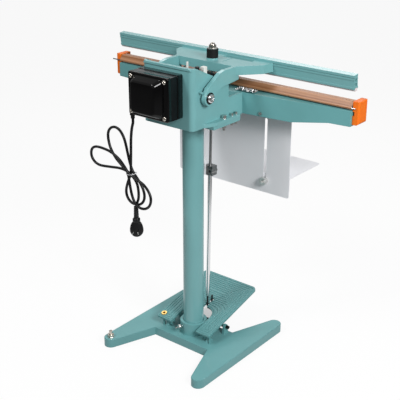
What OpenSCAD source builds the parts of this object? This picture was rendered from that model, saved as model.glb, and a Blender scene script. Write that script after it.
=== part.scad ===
// Foot-operated impulse heat sealer on a column stand.
// The origin is on the floor at the column's axis. +Z is up, the operator stands on the -Y side,
// the jaws run along X, and the transformer is on the +Y side.

/* [Base] */
// Width over the two long feet
base_w = 374; // [340:1:420]
// Length of each foot, front to back
base_len = 410; // [360:1:460]
// Height of the base casting
base_h = 26; // [20:1:34]
// Width of a foot at its rounded tip
foot_w = 40; // [34:1:50]
// Distance between the inner corners of the waist, along X
waist_w = 200; // [180:1:230]
// Depth of the waist, along Y
waist_d = 122; // [112:1:150]
// Wall of the base casting
base_wall = 7; // [5:0.5:10]
// Height of the column collar above the top of the base
collar_h = 39; // [30:1:50]
// Wall of the column collar
collar_wall = 9; // [7:0.5:12]

/* [Column] */
// Outside diameter of the column tube
column_od = 60; // [54:1:66]
// Wall of the column tube
column_wall = 3; // [2:0.5:5]
// Floor to the seat of the machine head
head_z = 697; // [660:1:740]
// Thickness of the plate on top of the column
head_plate_t = 9; // [6:1:12]

/* [Head] */
// Width of the head casting
head_w = 172; // [166:1:178]
// Height of the rear wall of the head casting
head_h = 165; // [158:1:175]
// Rear face of the head casting, from the column's axis
head_rear = 106; // [100:1:112]
// Wall of the head casting
head_wall = 8; // [6:0.5:10]
// Width of the bolting flange at each side of the head
flange_w = 18; // [16:1:22]

/* [Jaws] */
// Length of both jaws
jaw_len = 812; // [700:2:900]
// Width of the lower jaw bar
jaw_w = 16; // [14:0.5:18]
// Height of the lower jaw bar above its beam
jaw_h = 20; // [17:1:24]
// Distance from the column's axis to the sealing line
jaw_y = 160; // [156:1:164]
// Height of the beam at the head
beam_h = 59; // [54:1:62]
// Height of the beam at its ends
beam_end_h = 42; // [36:1:48]
// Depth of the upper jaw bar
bar_h = 38.5; // [34:0.5:42]
// Width of the upper jaw bar
bar_w = 18; // [16:1:20]
// Width of the heating element
element_w = 5; // [3:0.5:8]

/* [Press] */
// Angle between open and closed jaws
open_angle = 6.8; // [5:0.1:7.5]
// Pivot of the press frame behind the column's axis
pivot_y = 59; // [54:1:64]
// Height of the pivot above the head's seat
pivot_h = 84; // [82:1:90]
// Diameter of the pivot bolts
pivot_d = 12; // [10:1:14]
// Thickness of the arms of the press frame
arm_t = 12; // [9:1:14]
// Radius of the boss round each pivot
boss_r = 20.5; // [18:0.5:23]

/* [Pedal] */
// Width of the pedal
pedal_w = 200; // [188:1:212]
// Length of the pedal
pedal_len = 247; // [230:1:270]
// Slope of the pedal at rest
pedal_tilt = 14; // [13:0.1:15]
// Distance from the column's axis back to the pedal's hinge pins
pedal_pin_y = 22; // [18:1:26]
// Height of the hinge pins above the floor
pedal_pin_z = 38; // [37:0.5:41]
// Width of the slot that passes the column
slot_w = 96; // [94:1:104]

/* [Pull rod] */
// Diameter of the chromed lower rod
rod_d = 12; // [10:1:14]
// Diameter of the upper rod
upper_rod_d = 8; // [6:0.5:9]
// Diameter of the threaded top of the rod
stud_d = 10; // [9:0.5:12]
// Height of the clamp block above the rod's foot
clamp_s = 441; // [380:1:520]
// Diameter of the rubber sleeve
sleeve_d = 32; // [28:1:34]
// Height of the rubber sleeve
sleeve_h = 24; // [20:1:30]

/* [Shelf] */
// Width of the back plate and shelf
shelf_w = 402; // [320:2:440]
// Height of the shelf above the floor at its lowest setting
shelf_z = 507; // [500:1:530]
// Depth of the shelf, front to back
shelf_d = 165; // [120:5:200]
// Sheet thickness
sheet_t = 1.5; // [1:0.1:2.5]

/* [Transformer] */
// Width of the transformer
trafo_w = 136; // [125:1:150]
// Height of the transformer
trafo_h = 117; // [105:1:126]
// Thickness of its stack of laminations
trafo_stack = 24; // [20:1:30]
// Depth of the frame between the head and the laminations
trafo_frame = 21; // [16:1:26]
// Depth of the rim of the pressed cover
trafo_rim = 14; // [12:1:18]
// Depth of the dome of the pressed cover
trafo_dome = 23; // [16:1:28]

/* [Power cord] */
// Diameter of the cord
cord_d = 7.5; // [5:0.5:9]

/* [Hidden] */
$fn = 64;

// Small common clearances: a running fit, a seated face and a free gap
run_gap = 0.05;
seat_gap = 0.3;
free_gap = 1;
paint = [0.42, 0.66, 0.65];
steel = [0.78, 0.79, 0.8];
black = [0.1, 0.1, 0.11];

base_x = base_w / 2;
tip_r = foot_w / 2;
tip_y = base_len / 2 - tip_r;
tip_x = base_x - tip_r;
waist_x = waist_w / 2;
waist_y = waist_d / 2;
socket_floor = 8;
collar_top = base_h + collar_h;
collar_bore = column_od / 2 + free_gap;
collar_r = collar_bore + collar_wall;
column_top = head_z - head_plate_t;

pivot_z = head_z + pivot_h;
arm_gap = 7;
head_x = head_w / 2;
arm_in = head_x + arm_gap;
arm_out = arm_in + arm_t;
beam_top = head_z + 60;
beam_bottom = beam_top - beam_h;
beam_rear = 108;
beam_front = jaw_y + 22;
beam_end_rear = jaw_y - 20.4;
jaw_half = jaw_len / 2;
jaw_top = beam_top + jaw_h;
pad_t = 1.5;
element_t = 0.6;
tape_t = 0.6;
element_top = jaw_top + pad_t + element_t;
tape_top = element_top + 0.2 + tape_t;

// Upper jaw, drawn closed and then opened about the pivot
strip_drop = 5;
strip_w = 12;
bar_z = tape_top + 0.5 + strip_drop;
frame_top = pivot_z + 61;
frame_h = 24;
frame_skin = 6;
frame_wall = 7;

// Pull rod: foot below the hook, leaning forward to the sleeve
rod_foot = [0, -66, 66];
sleeve_y = 84;
lean_rise = frame_top + 3.2 - rod_foot[2];
rod_lean = atan((sleeve_y + rod_foot[1]) / lean_rise);
rod_top = lean_rise / cos(rod_lean);
hook_r = 11;
hook_d = 6;
hook_s = 18;
tube_s = 50;
clamp_h = 28;
stud_s = rod_top - 32;

// Pedal, in its own flat coordinates: y forward from the rear edge is negative, top face at 0
pedal_t = 8;
pin_drop = 26;
pin_back = 17;
pin_r = 4;
slot_front = 104;
bar_y = 46;
bar_pin_z = 48;

plate_y = beam_front + sheet_t;
slot_x = 117;
bolt_drop = 23.5;
bolt_r = 4;
slot_wide = 9;
slot_low = shelf_z - bolt_drop - slot_wide / 2;
slot_high = slot_low + 192;
plate_low = shelf_z - 60;
plate_high = beam_bottom + 14;
plate_bolt_x = 145;
plate_bolt_z = beam_bottom + 9;

panel_x = 90;
panel_low = plate_high + 2;
panel_high = beam_top - 2;
panel_t = 2;
panel_mid = (panel_low + panel_high) / 2;
knob_x = -45;
rocker_x = 22;
lamp_x = 60;

trafo_x0 = -53;
trafo_x1 = trafo_x0 + trafo_w;
trafo_mid = trafo_x0 + trafo_w / 2;
trafo_z0 = head_z + 31.5;
trafo_z1 = trafo_z0 + trafo_h;
trafo_zm = trafo_z0 + trafo_h / 2;
stack_front = head_rear + trafo_frame;
stack_rear = stack_front + trafo_stack;
rim_rear = stack_rear + trafo_rim;
cover_t = 1.5;
screw_in = 11;

gland_r = cord_d / 2 + 1.75;
gland_x = trafo_x1 - cover_t - gland_r - 0.1;
gland_y = rim_rear - cover_t - gland_r - 0.1;
gland_z = trafo_z0 - 12;

// Route of the hanging stretch of the cord, from the gland to the hank
cord_route = [
    [gland_x, gland_y, gland_z], [gland_x, gland_y, gland_z - 12], [79, 159, 690], [82, 159, 674],
    [84, 159, 655], [85, 159, 635], [86, 159, 610], [87, 159, 590], [87, 159, 572]
];
hank_t = 3 * cord_d + 1.5;
tie_at = [87, 159, 560];
plug_at = [73, 159, 393];

function unit(v) = v / norm(v);
function arc(c, r, a0, a1, n = 12) = [
    for (i = [0:n])
        let (a = a0 + (a1 - a0) * i / n)
        [c[0] + r * cos(a), c[1] + r * sin(a)]
];
function flip_x(p) = [for (i = [len(p) - 1:-1:0]) [-p[i][0], p[i][1]]];
function flip_y(p) = [for (i = [len(p) - 1:-1:0]) [p[i][0], -p[i][1]]];
function both_sides(p) = concat(p, flip_x(p));

// Direction of a foot's inner edge: tangent from the waist corner to the rounded tip
foot_reach = [tip_x - waist_x, tip_y - waist_y];
edge_angle = atan2(foot_reach[1], foot_reach[0]) + asin(tip_r / norm(foot_reach));

// Quarter of the base outline, inset by k
function base_quarter(k) =
    let (n1 = [sin(edge_angle), -cos(edge_angle)])
    concat(
        arc([tip_x, tip_y], tip_r - k, 0, edge_angle + 90),
        [[waist_x + k * (1 + n1[1]) / n1[0], waist_y - k]]
    );
function base_outline(k) =
    let (half = both_sides(base_quarter(k)))
    concat(half, flip_y(half));

// Swept tube along a route: rings square to the path, closed ends
function along(p, i) = unit(p[min(i + 1, len(p) - 1)] - p[max(i - 1, 0)]);
function ring(c, t, r, n, side) =
    let (u = unit(cross(t, side)), v = cross(t, u))
    [for (k = [0:n - 1]) c + r * (cos(360 * k / n) * u + sin(360 * k / n) * v)];

// The sections are turned to face side, which no stretch of the path may run along
module swept_tube(path, r, n = 8, side = [0.03, 1, 0.02]) {
    last = len(path) - 1;
    points = [for (i = [0:last]) each ring(path[i], along(path, i), r, n, side)];
    sides = [
        for (i = [0:last - 1], k = [0:n - 1])
            [i * n + k, (i + 1) * n + k, (i + 1) * n + (k + 1) % n, i * n + (k + 1) % n]
    ];
    caps = [[for (k = [0:n - 1]) k], [for (k = [n - 1:-1:0]) last * n + k]];
    polyhedron(points, concat(sides, caps), convexity = 8);
}

// Bar along X with its middle at x = 0
module along_x(length, r) {
    rotate([0, 90, 0])
        cylinder(h = length, r = r, center = true);
}

// Cylinder that runs from y0 towards -Y
module toward_operator(length, r) {
    rotate([90, 0, 0])
        cylinder(h = length, r = r);
}

module ring_tube(h, outer, inner) {
    difference() {
        cylinder(h = h, r = outer);
        translate([0, 0, -1])
            cylinder(h = h + 2, r = inner);
    }
}

module hex(h, across) {
    cylinder(h = h, r = across / 2 / cos(30), $fn = 6);
}

// Profile drawn in Y (first) and Z (second), extruded along X from x0 to x1
module yz_slab(x0, x1) {
    translate([x0, 0, 0])
        rotate([90, 0, 90])
            linear_extrude(x1 - x0)
                children();
}

// Turns closed-jaw geometry to the open rest position
module opened() {
    translate([0, pivot_y, pivot_z])
        rotate([-open_angle, 0, 0])
            translate([0, -pivot_y, -pivot_z])
                children();
}

module rod_frame(s = 0) {
    translate(rod_foot)
        rotate([rod_lean, 0, 0])
            translate([0, 0, s])
                children();
}

module pedal_frame() {
    translate([0, pedal_pin_y, pedal_pin_z])
        rotate([-pedal_tilt, 0, 0])
            translate([0, pin_back, pin_drop])
                children();
}

// ---------------------------------------------------------------- stand

module base_casting() {
    edge = 3;
    color(paint)
    difference() {
        union() {
            linear_extrude(base_h - edge)
                polygon(base_outline(0));
            for (i = [1:3])
                translate([0, 0, base_h - edge - 0.01])
                    linear_extrude(edge * sin(30 * i) + 0.01)
                        polygon(base_outline(edge * (1 - cos(30 * (i - 1)))));
            cylinder(h = collar_top, r = collar_r);
            for (side = [-1, 1]) {
                pedal_ear(side);
                bar_ear(side);
            }
        }
        difference() {
            translate([0, 0, -1])
                linear_extrude(base_h - base_wall + 1)
                    polygon(base_outline(base_wall));
            cylinder(h = base_h, r = collar_r);
            for (side = [-1, 1], end = [-1, 1])
                translate([side * tip_x, end * tip_y, 0])
                    cylinder(h = base_h, r = tip_r - base_wall / 2);
            for (side = [-1, 1])
                translate([side * (waist_x + base_x) / 2 - base_wall / 2, -tip_y, 0])
                    cube([base_wall, 2 * tip_y, base_h]);
            translate([-base_x + base_wall, -base_wall / 2, 0])
                cube([2 * (base_x - base_wall), base_wall, base_h]);
        }
        translate([0, 0, socket_floor])
            cylinder(h = collar_top, r = collar_bore);
        translate([tip_x, tip_y, -1])
            cylinder(h = base_h + 2, r = 5 + run_gap);
        wing_bolt_frame()
            cylinder(h = 2 * collar_r, r = 4 + run_gap);
        for (x = [-tip_x, tip_x], y = [-tip_y, tip_y])
            if (x < 0 || y < 0)
                translate([x, y, -1])
                    cylinder(h = 7, r = 4 + run_gap);
    }
}

// Ear that carries a pedal hinge pin
ear_x = 72;
ear_t = 9;
ear_r = 7;
module pedal_ear(side) {
    x0 = side > 0 ? ear_x : -ear_x - ear_t;
    difference() {
        yz_slab(x0, x0 + ear_t)
            union() {
                translate([pedal_pin_y, pedal_pin_z])
                    circle(r = ear_r);
                polygon([
                    [pedal_pin_y - ear_r - 6, base_h - 2], [pedal_pin_y + ear_r + 6, base_h - 2],
                    [pedal_pin_y + ear_r, pedal_pin_z], [pedal_pin_y - ear_r, pedal_pin_z]
                ]);
            }
        translate([side * ear_x, pedal_pin_y, pedal_pin_z])
            along_x(40, pin_r + run_gap);
    }
}

module bar_ear(side) {
    x0 = side > 0 ? 80 : -88;
    difference() {
        yz_slab(x0, x0 + 8)
            union() {
                translate([-bar_y, bar_pin_z])
                    circle(r = 7.5);
                polygon([
                    [-bar_y - 10, base_h - 2], [-bar_y + 12, base_h - 2],
                    [-bar_y + 7.5, bar_pin_z], [-bar_y - 7.5, bar_pin_z]
                ]);
            }
        translate([side * 84, -bar_y, bar_pin_z])
            along_x(40, 5 + run_gap);
    }
}

module wing_bolt_frame() {
    translate([0, 0, collar_top - 15])
        rotate([-90, 0, -23])
            children();
}

module collar_wing_bolt() {
    color(steel)
    wing_bolt_frame() {
        translate([0, 0, column_od / 2 + 0.1])
            cylinder(h = 16, r = 4);
        translate([0, 0, column_od / 2 + 14])
            cylinder(h = 8, r = 6.5);
        for (side = [-1, 1])
            rotate([0, 0, 35])
                translate([side * 9, 0, column_od / 2 + 21])
                    rotate([90, 0, 0])
                        cylinder(h = 3, r = 7, center = true);
    }
}

module column_tube() {
    color(paint)
    translate([0, 0, socket_floor])
        ring_tube(column_top - socket_floor, column_od / 2, column_od / 2 - column_wall);
}

plate_front = 78;
plate_rear = 38;
plate_half = 102;
module column_head_plate() {
    color(paint)
    difference() {
        translate([-plate_half, -plate_front, column_top])
            cube([2 * plate_half, plate_front + plate_rear, head_plate_t]);
        head_bolt_places(large_ys)
            translate([0, 0, column_top - 1])
                cylinder(h = head_plate_t + 2, r = 4 + run_gap);
        head_bolt_places(small_ys)
            translate([0, 0, column_top - 1])
                cylinder(h = head_plate_t + 2, r = 3 + run_gap);
        rod_at_height(column_top - 20)
            cylinder(h = 60, r = upper_rod_d / 2 + 3);
    }
}

// The head is bolted down along its side flanges: one large bolt and two small ones at each side
large_ys = [-15];
small_ys = [-50, -68];
bolt_x = head_w / 2 + 8.5;
module head_bolt_places(ys) {
    for (side = [-1, 1], y = ys)
        translate([side * bolt_x, y, 0])
            children();
}

module levelling_bolt() {
    color(steel)
    translate([tip_x, tip_y, 0]) {
        translate([0, 0, 0.2])
            cylinder(h = base_h + 20, r = 5);
        translate([0, 0, base_h + 1])
            difference() {
                hex(8, 17);
                translate([0, 0, -1])
                    cylinder(h = 10, r = 4.9);
            }
        translate([0, 0, base_h])
            cylinder(h = 1, r = 10);
    }
}

module foot_pads() {
    color(black)
    for (x = [-tip_x, tip_x], y = [-tip_y, tip_y])
        if (x < 0 || y < 0)
            translate([x, y, 0])
                cylinder(h = 5.8, r = 4);
}

// ---------------------------------------------------------------- pedal

pedal_corner = 14;
lobe_corner = 5;
rib_pitch = 8;
rib_w = 3.6;
rib_h = 1.4;
// The plate and its slot lie a little off the column's centre
pedal_shift = 8;
slot_shift = 5;
bridge_w = 5.4;
bridge_y = rod_foot[1] - 8.7;

// Flat outline of the pedal, inset by k; the rear edge is at y = 0
function pedal_half(k) =
    let (r = max(pedal_corner - k, 1), q = max(lobe_corner - k, 1))
    concat(
        arc([pedal_w / 2 - k - q, -k - q], q, 90, 0, 4),
        arc([pedal_w / 2 - k - r, -pedal_len + k + r], r, 0, -90, 6)
    );
module pedal_outline(k) {
    translate([pedal_shift, 0])
        polygon(both_sides(pedal_half(k)));
}

module column_slot(k = 0) {
    r = 34;
    half = slot_w / 2 + k;
    translate([slot_shift, 0])
        polygon(both_sides(concat(
            [[half, 1]],
            arc([half - r, -slot_front + r - k], r, 0, -90, 10)
        )));
}

// Distance along the pedal of a point at y on its sloping top
function on_pedal(y) = -(pedal_pin_y + pin_back * cos(pedal_tilt) + pin_drop * sin(pedal_tilt) - y)
    / cos(pedal_tilt);

// One closed rib that follows the whole U of the pedal, inset by k
module pedal_band(k) {
    difference() {
        pedal_outline(k);
        column_slot(k);
    }
}
module pedal_rib(k) {
    difference() {
        pedal_band(k);
        pedal_band(k + rib_w);
    }
}

module pedal_plate() {
    lug_t = 9;
    lug_x = ear_x - 1 - lug_t;
    rim = 6;
    color(paint)
    pedal_frame()
        difference() {
            union() {
                translate([0, 0, -pedal_t])
                    difference() {
                        linear_extrude(pedal_t - rib_h)
                            pedal_outline(0);
                        translate([0, 0, -1])
                            linear_extrude(pedal_t - rib_h - 3)
                                difference() {
                                    pedal_outline(rim);
                                    column_slot(rim);
                                    translate([-20, on_pedal(bridge_y) - 26])
                                        square([40, 52]);
                                    for (side = [-1, 1])
                                        translate([side * (lug_x + lug_t / 2), 0])
                                            square([lug_t + 10, 120], center = true);
                                }
                    }
                translate([0, 0, -rib_h - 0.01])
                    linear_extrude(rib_h + 0.01)
                        for (i = [0:8])
                            pedal_rib(4 + i * rib_pitch);
                for (side = [-1, 1])
                    yz_slab(side > 0 ? lug_x : -lug_x - lug_t, side > 0 ? lug_x + lug_t : -lug_x)
                        union() {
                            translate([-pin_back, -pin_drop])
                                circle(r = 8);
                            polygon([
                                [-pin_back + 7, -pin_drop], [-pin_back + 12, -pedal_t + 1],
                                [-pin_back - 20, -pedal_t + 1], [-pin_back - 7, -pin_drop]
                            ]);
                        }
            }
            translate([0, 0, -pedal_t - 1])
                linear_extrude(pedal_t + 2)
                    union() {
                        column_slot();
                        // Notch and window on each side of the bridge that the rod's hook pulls
                        translate([-6, on_pedal(bridge_y) + bridge_w / 2])
                            square([12, 30]);
                        translate([-6, on_pedal(bridge_y) - bridge_w / 2 - 19])
                            square([12, 19]);
                    }
            for (side = [-1, 1])
                translate([side * ear_x, -pin_back, -pin_drop])
                    along_x(40, pin_r + run_gap);
            translate([insert_x, insert_y, -pedal_t - 1])
                cylinder(h = pedal_t + 2, r = insert_r + run_gap);
        }
}

insert_x = 92;
insert_y = -17;
insert_r = 6.5;
module pedal_insert() {
    color([0.85, 0.68, 0.25])
    pedal_frame()
        translate([insert_x, insert_y, -pedal_t + 1])
            difference() {
                union() {
                    cylinder(h = pedal_t - 1, r = insert_r);
                    translate([0, 0, pedal_t - 1])
                        cylinder(h = 2, r = insert_r + 2);
                }
                translate([0, 0, 2])
                    cylinder(h = pedal_t + 2, r = 4);
            }
}

module pedal_pins() {
    color(steel)
    for (side = [-1, 1])
        translate([side * (ear_x - 0.5), pedal_pin_y, pedal_pin_z])
            along_x(2 * ear_t + 4, pin_r);
}

module pedal_stop_bar() {
    color(black)
    translate([0, -bar_y, bar_pin_z])
        along_x(pedal_w - 6, 5);
}

module pedal_rest_pads() {
    rest_y = pedal_pin_y + 10;
    rear_y = pedal_pin_y + pin_back * cos(pedal_tilt) + pin_drop * sin(pedal_tilt);
    rear_z = pedal_pin_z - pin_back * sin(pedal_tilt) + pin_drop * cos(pedal_tilt);
    under = rear_z + (rear_y - rest_y - 4) * tan(pedal_tilt) - pedal_t / cos(pedal_tilt);
    color(black)
    for (x = [89, -86.5])
        translate([x, rest_y, base_h])
            cylinder(h = under - base_h - 0.4, r = 3.5);
}

// ---------------------------------------------------------------- pull rod

module rod_hook() {
    color(black)
    rod_frame() {
        translate([0, 0, hook_s])
            cylinder(h = tube_s + 14 - hook_s, r = hook_d / 2);
        translate([0, -hook_r, hook_s])
            rotate([90, 0, -90])
                rotate([0, 0, 180])
                    rotate_extrude(angle = 180)
                        translate([hook_r, 0])
                            circle(r = hook_d / 2, $fn = 32);
        translate([0, -2 * hook_r, hook_s])
            cylinder(h = 22, r = hook_d / 2);
    }
}

module lower_rod() {
    color(steel)
    rod_frame(tube_s)
        ring_tube(clamp_s - tube_s + 10, rod_d / 2, hook_d / 2 + run_gap);
}

module rod_clamp() {
    d = 22;
    color(steel)
    rod_frame(clamp_s)
        difference() {
            union() {
                cylinder(h = clamp_h, r = 12);
                translate([-9 - 7, -d / 2, 0])
                    cube([16, d, clamp_h]);
                translate([-9, d / 2 + 4, clamp_h / 2])
                    toward_operator(d + 4, 9);
            }
            translate([0, 0, -1])
                cylinder(h = 11.2, r = rod_d / 2 + run_gap);
            cylinder(h = clamp_h + 1, r = upper_rod_d / 2 + run_gap);
            translate([-clamp_x, d, clamp_h / 2])
                toward_operator(2 * d + 2, clamp_r + run_gap);
        }
}

clamp_x = 10.5;
clamp_r = 4;
module clamp_screw() {
    color([0.3, 0.3, 0.31])
    rod_frame(clamp_s + clamp_h / 2)
        translate([-clamp_x, 15.5, 0])
            difference() {
                toward_operator(26, clamp_r);
                translate([0, 1, 0])
                    rotate([90, 0, 0])
                        hex(5, 4.5);
            }
}

module upper_rod() {
    color([0.45, 0.46, 0.47])
    rod_frame(clamp_s + 10.4) {
        cylinder(h = stud_s - clamp_s - 10, r = upper_rod_d / 2);
        translate([0, 0, stud_s - clamp_s - 10.4])
            cylinder(h = rod_top + sleeve_h + 11 - stud_s, r = stud_d / 2);
    }
}

bush_r = 9;
module rod_at_height(z) {
    rod_frame((z - rod_foot[2]) / cos(rod_lean))
        children();
}

module rod_bush() {
    color([0.9, 0.9, 0.86])
    difference() {
        union() {
            translate([0, rod_y(head_z), head_z])
                cylinder(h = 11, r = bush_r);
            translate([0, rod_y(head_z), head_z + 10])
                cylinder(h = 3, r = 15);
        }
        rod_at_height(head_z - 10)
            cylinder(h = 40, r = upper_rod_d / 2 + 0.1);
    }
}
function rod_y(z) = rod_foot[1] - (z - rod_foot[2]) * tan(rod_lean);

spring_r = 11;
spring_wire = 1.3;
module return_spring() {
    turns = 9;
    steps = 12;
    low = head_z + 13 + spring_wire + seat_gap;
    high = frame_top - frame_skin - spring_wire - 2;
    path = [
        for (i = [0:turns * steps])
            let (a = 360 * i / steps, z = low + (high - low) * i / (turns * steps))
            [spring_r * cos(a), rod_y(z) + spring_r * sin(a), z]
    ];
    color(steel)
        swept_tube(path, spring_wire, 6);
}

module rubber_sleeve() {
    color(black)
    rod_frame(rod_top + seat_gap)
        ring_tube(sleeve_h, sleeve_d / 2, stud_d / 2 + run_gap);
}

module sleeve_washer() {
    color(steel)
    rod_frame(rod_top + seat_gap + sleeve_h)
        ring_tube(2.5, sleeve_d / 2 - 1.5, stud_d / 2 + run_gap);
}

module rod_nuts() {
    color(steel)
    rod_frame(rod_top + seat_gap + sleeve_h + 2.5)
        difference() {
            union() {
                hex(8, 19);
                translate([0, 0, 7.5])
                    sphere(r = 7.5);
            }
            translate([0, 0, -2])
                cylinder(h = 11, r = stud_d / 2 + run_gap);
        }
}

// ---------------------------------------------------------------- head

head_corner = 14;
low_wall = beam_top - head_z;
wall_front = 46;
module head_plan(k) {
    x = head_x - k;
    r = head_corner - min(k, head_corner - 4);
    polygon(both_sides(concat(
        [[x, -beam_rear + k]],
        arc([x - r, head_rear - k - r], r, 0, 90, 8)
    )));
}

module head_side() {
    polygon([
        [-beam_rear, 0], [head_rear + 4, 0], [head_rear + 4, head_h], [head_rear - 14, head_h],
        [-wall_front, head_h - 65], [-wall_front, low_wall], [-beam_rear, low_wall]
    ]);
}

module head_casting() {
    floor_t = 10;
    flange_y0 = 76;
    flange_y1 = 44;
    lip_x = head_x - 7;
    lip_h = 6;
    lip_r = 5;
    color(paint)
    difference() {
        union() {
            intersection() {
                translate([0, 0, head_z])
                    linear_extrude(head_h)
                        head_plan(0);
                translate([0, 0, head_z])
                    yz_slab(-head_x - 1, head_x + 1)
                        head_side();
            }
            for (side = [-1, 1])
                translate([0, 0, head_z])
                    mirror([side > 0 ? 0 : 1, 0, 0])
                        linear_extrude(floor_t)
                            polygon(concat(
                                [[head_x - 1, -flange_y0], [head_x + flange_w, -flange_y0]],
                                [[head_x + flange_w, flange_y1 - 16]],
                                [[head_x + 8, flange_y1 + 4], [head_x - 1, flange_y1 + 20]]
                            ));
            // Lip along the top of the rear wall, above the transformer
            translate([0, head_rear + 2, head_z + head_h - lip_h])
                rotate([90, 0, 0])
                    linear_extrude(head_wall)
                        polygon(both_sides(concat(
                            [[lip_x, 0]],
                            arc([lip_x - lip_r, lip_h - lip_r], lip_r, 0, 90, 5)
                        )));
            // Pads that the arms' spacers run on, and the pins that stop the opening arms
            for (side = [-1, 1]) {
                translate([side * (head_x + 0.5), pivot_y, pivot_z])
                    along_x(3, boss_r - 4);
                translate([side * (head_x + arm_gap / 2), pivot_y + 21, pivot_z + 17])
                    along_x(arm_gap + 6, 3);
            }
        }
        translate([0, 0, head_z + floor_t])
            linear_extrude(head_h)
                head_plan(head_wall);
        translate([0, rod_y(head_z), head_z - 1])
            cylinder(h = 20, r = bush_r + run_gap);
        translate([0, pivot_y, pivot_z])
            along_x(head_w + 20, pivot_d / 2 + run_gap);
        head_bolt_flange_holes();
        // Holes for the transformer's screws and its leads
        screw_places()
            translate([0, head_rear + 5, 0])
                toward_operator(head_wall + 5, 2.5 + run_gap);
        translate([trafo_mid, head_rear + 5, trafo_zm])
            toward_operator(head_wall + 10, 16);
        for (x = [-55, 55])
            translate([x, -beam_rear + 20, head_z + 34])
                toward_operator(40, 4 + run_gap);
    }
}

module head_bolt_flange_holes() {
    head_bolt_places(large_ys)
        translate([0, 0, head_z - 1])
            cylinder(h = 12, r = 4 + run_gap);
    head_bolt_places(small_ys)
        translate([0, 0, head_z - 1])
            cylinder(h = 12, r = 3 + run_gap);
}

module head_bolt(r, across, head_t, tail) {
    translate([0, 0, column_top - tail])
        cylinder(h = head_plate_t + tail + 11, r = r);
    translate([0, 0, head_z + 10.1])
        cylinder(h = 1.5, r = across / 2 + 1);
    translate([0, 0, head_z + 11.6])
        hex(head_t, across);
    translate([0, 0, column_top - 6.1])
        hex(6, across);
}

module head_bolts() {
    color(steel) {
        head_bolt_places(large_ys)
            head_bolt(4, 13, 8, 14);
        head_bolt_places(small_ys)
            head_bolt(3, 8, 5, 9);
    }
}

pivot_head_r = 11.5;
module pivot_bolts() {
    color(steel)
    for (side = [-1, 1])
        translate([0, pivot_y, pivot_z])
            rotate([0, side * 90, 0]) {
                translate([0, 0, head_x - head_wall - 12])
                    cylinder(h = arm_out - head_x + head_wall + 14, r = pivot_d / 2);
                translate([0, 0, arm_out + 2])
                    cylinder(h = 4, r = pivot_head_r);
                translate([0, 0, arm_out + 6])
                    cylinder(h = 3, r1 = pivot_head_r, r2 = pivot_head_r - 3.5);
                translate([0, 0, head_x - head_wall - 10.2])
                    difference() {
                        hex(10, 19);
                        translate([0, 0, -1])
                            cylinder(h = 12, r = pivot_d / 2 - 0.1);
                    }
            }
}

module pivot_washers() {
    color(black)
    for (side = [-1, 1])
        translate([0, pivot_y, pivot_z])
            rotate([0, side * 90, 0]) {
                translate([0, 0, head_x + 2.1])
                    ring_tube(arm_in - head_x - 2.4, boss_r - 6, pivot_d / 2 + run_gap);
                translate([0, 0, arm_out + 0.3])
                    ring_tube(1.6, boss_r - 5, pivot_d / 2 + run_gap);
            }
}

// ---------------------------------------------------------------- lower jaw

taper_in = 236;
taper_out = 345;
// Front view of the beam, in X and Z: deep at the head, shallow at the ends
function beam_side(k, drop) = [
    [jaw_half - k, beam_top - k], [jaw_half - k, beam_top - beam_end_h - drop],
    [taper_out, beam_top - beam_end_h - drop], [taper_in, beam_bottom - drop]
];
function beam_plan(k) = [
    [jaw_half - k, -beam_end_rear - k], [jaw_half - k, -beam_front + k]
];

module beam_shape(k, drop) {
    intersection() {
        translate([0, 0, beam_bottom - 100])
            linear_extrude(200)
                polygon(concat(
                    [[-100, -beam_rear - k], [100, -beam_rear - k]],
                    beam_plan(k), flip_x(beam_plan(k))
                ));
        rotate([90, 0, 0])
            linear_extrude(beam_front + 50)
                polygon(both_sides(beam_side(k, drop)));
    }
}

module jaw_beam() {
    color(paint)
    difference() {
        beam_shape(0, 0);
        // Open below
        beam_shape(head_wall, 50);
        // Window behind the control panel
        translate([-70, -beam_front - 5, panel_low + 4])
            cube([140, head_wall + 10, panel_high - panel_low - 8]);
        for (x = [-55, 55])
            translate([x, -beam_rear + 5, head_z + 34])
                toward_operator(20, 4 + run_gap);
        for (x = [-plate_bolt_x, plate_bolt_x])
            translate([x, 0, plate_bolt_z])
                toward_operator(beam_front + 10, 2.5 + run_gap);
        // Passage for the rear row of wires into the head
        translate([-24, -beam_rear - head_wall - 2, head_z + 30])
            cube([48, head_wall + 4, 16]);
        for (side = [-1, 1])
            translate([side * jaw_half, -jaw_y, beam_top - 14])
                along_x(50, 3 + run_gap);
    }
}

module beam_bolts() {
    color(steel)
    for (x = [-55, 55])
        translate([x, -beam_rear, head_z + 34]) {
            translate([0, head_wall + 10, 0])
                toward_operator(2 * head_wall + 20, 4);
            translate([0, head_wall + 6.1, 0])
                rotate([90, 0, 0])
                    hex(6, 13);
            translate([0, -head_wall - 0.1, 0])
                rotate([90, 0, 0])
                    hex(6, 13);
        }
}

module jaw_layer(z, w, t, x = jaw_half) {
    translate([-x, -jaw_y - w / 2, z])
        cube([2 * x, w, t]);
}

module lower_jaw_bar() {
    color([0.72, 0.73, 0.74])
        jaw_layer(beam_top, jaw_w, jaw_h);
}

module insulation_strip() {
    color([0.85, 0.82, 0.72])
        jaw_layer(jaw_top, jaw_w - 2, pad_t);
}

module heating_element() {
    color([0.6, 0.58, 0.55])
        jaw_layer(jaw_top + pad_t, element_w, element_t, jaw_half + 2);
}

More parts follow.
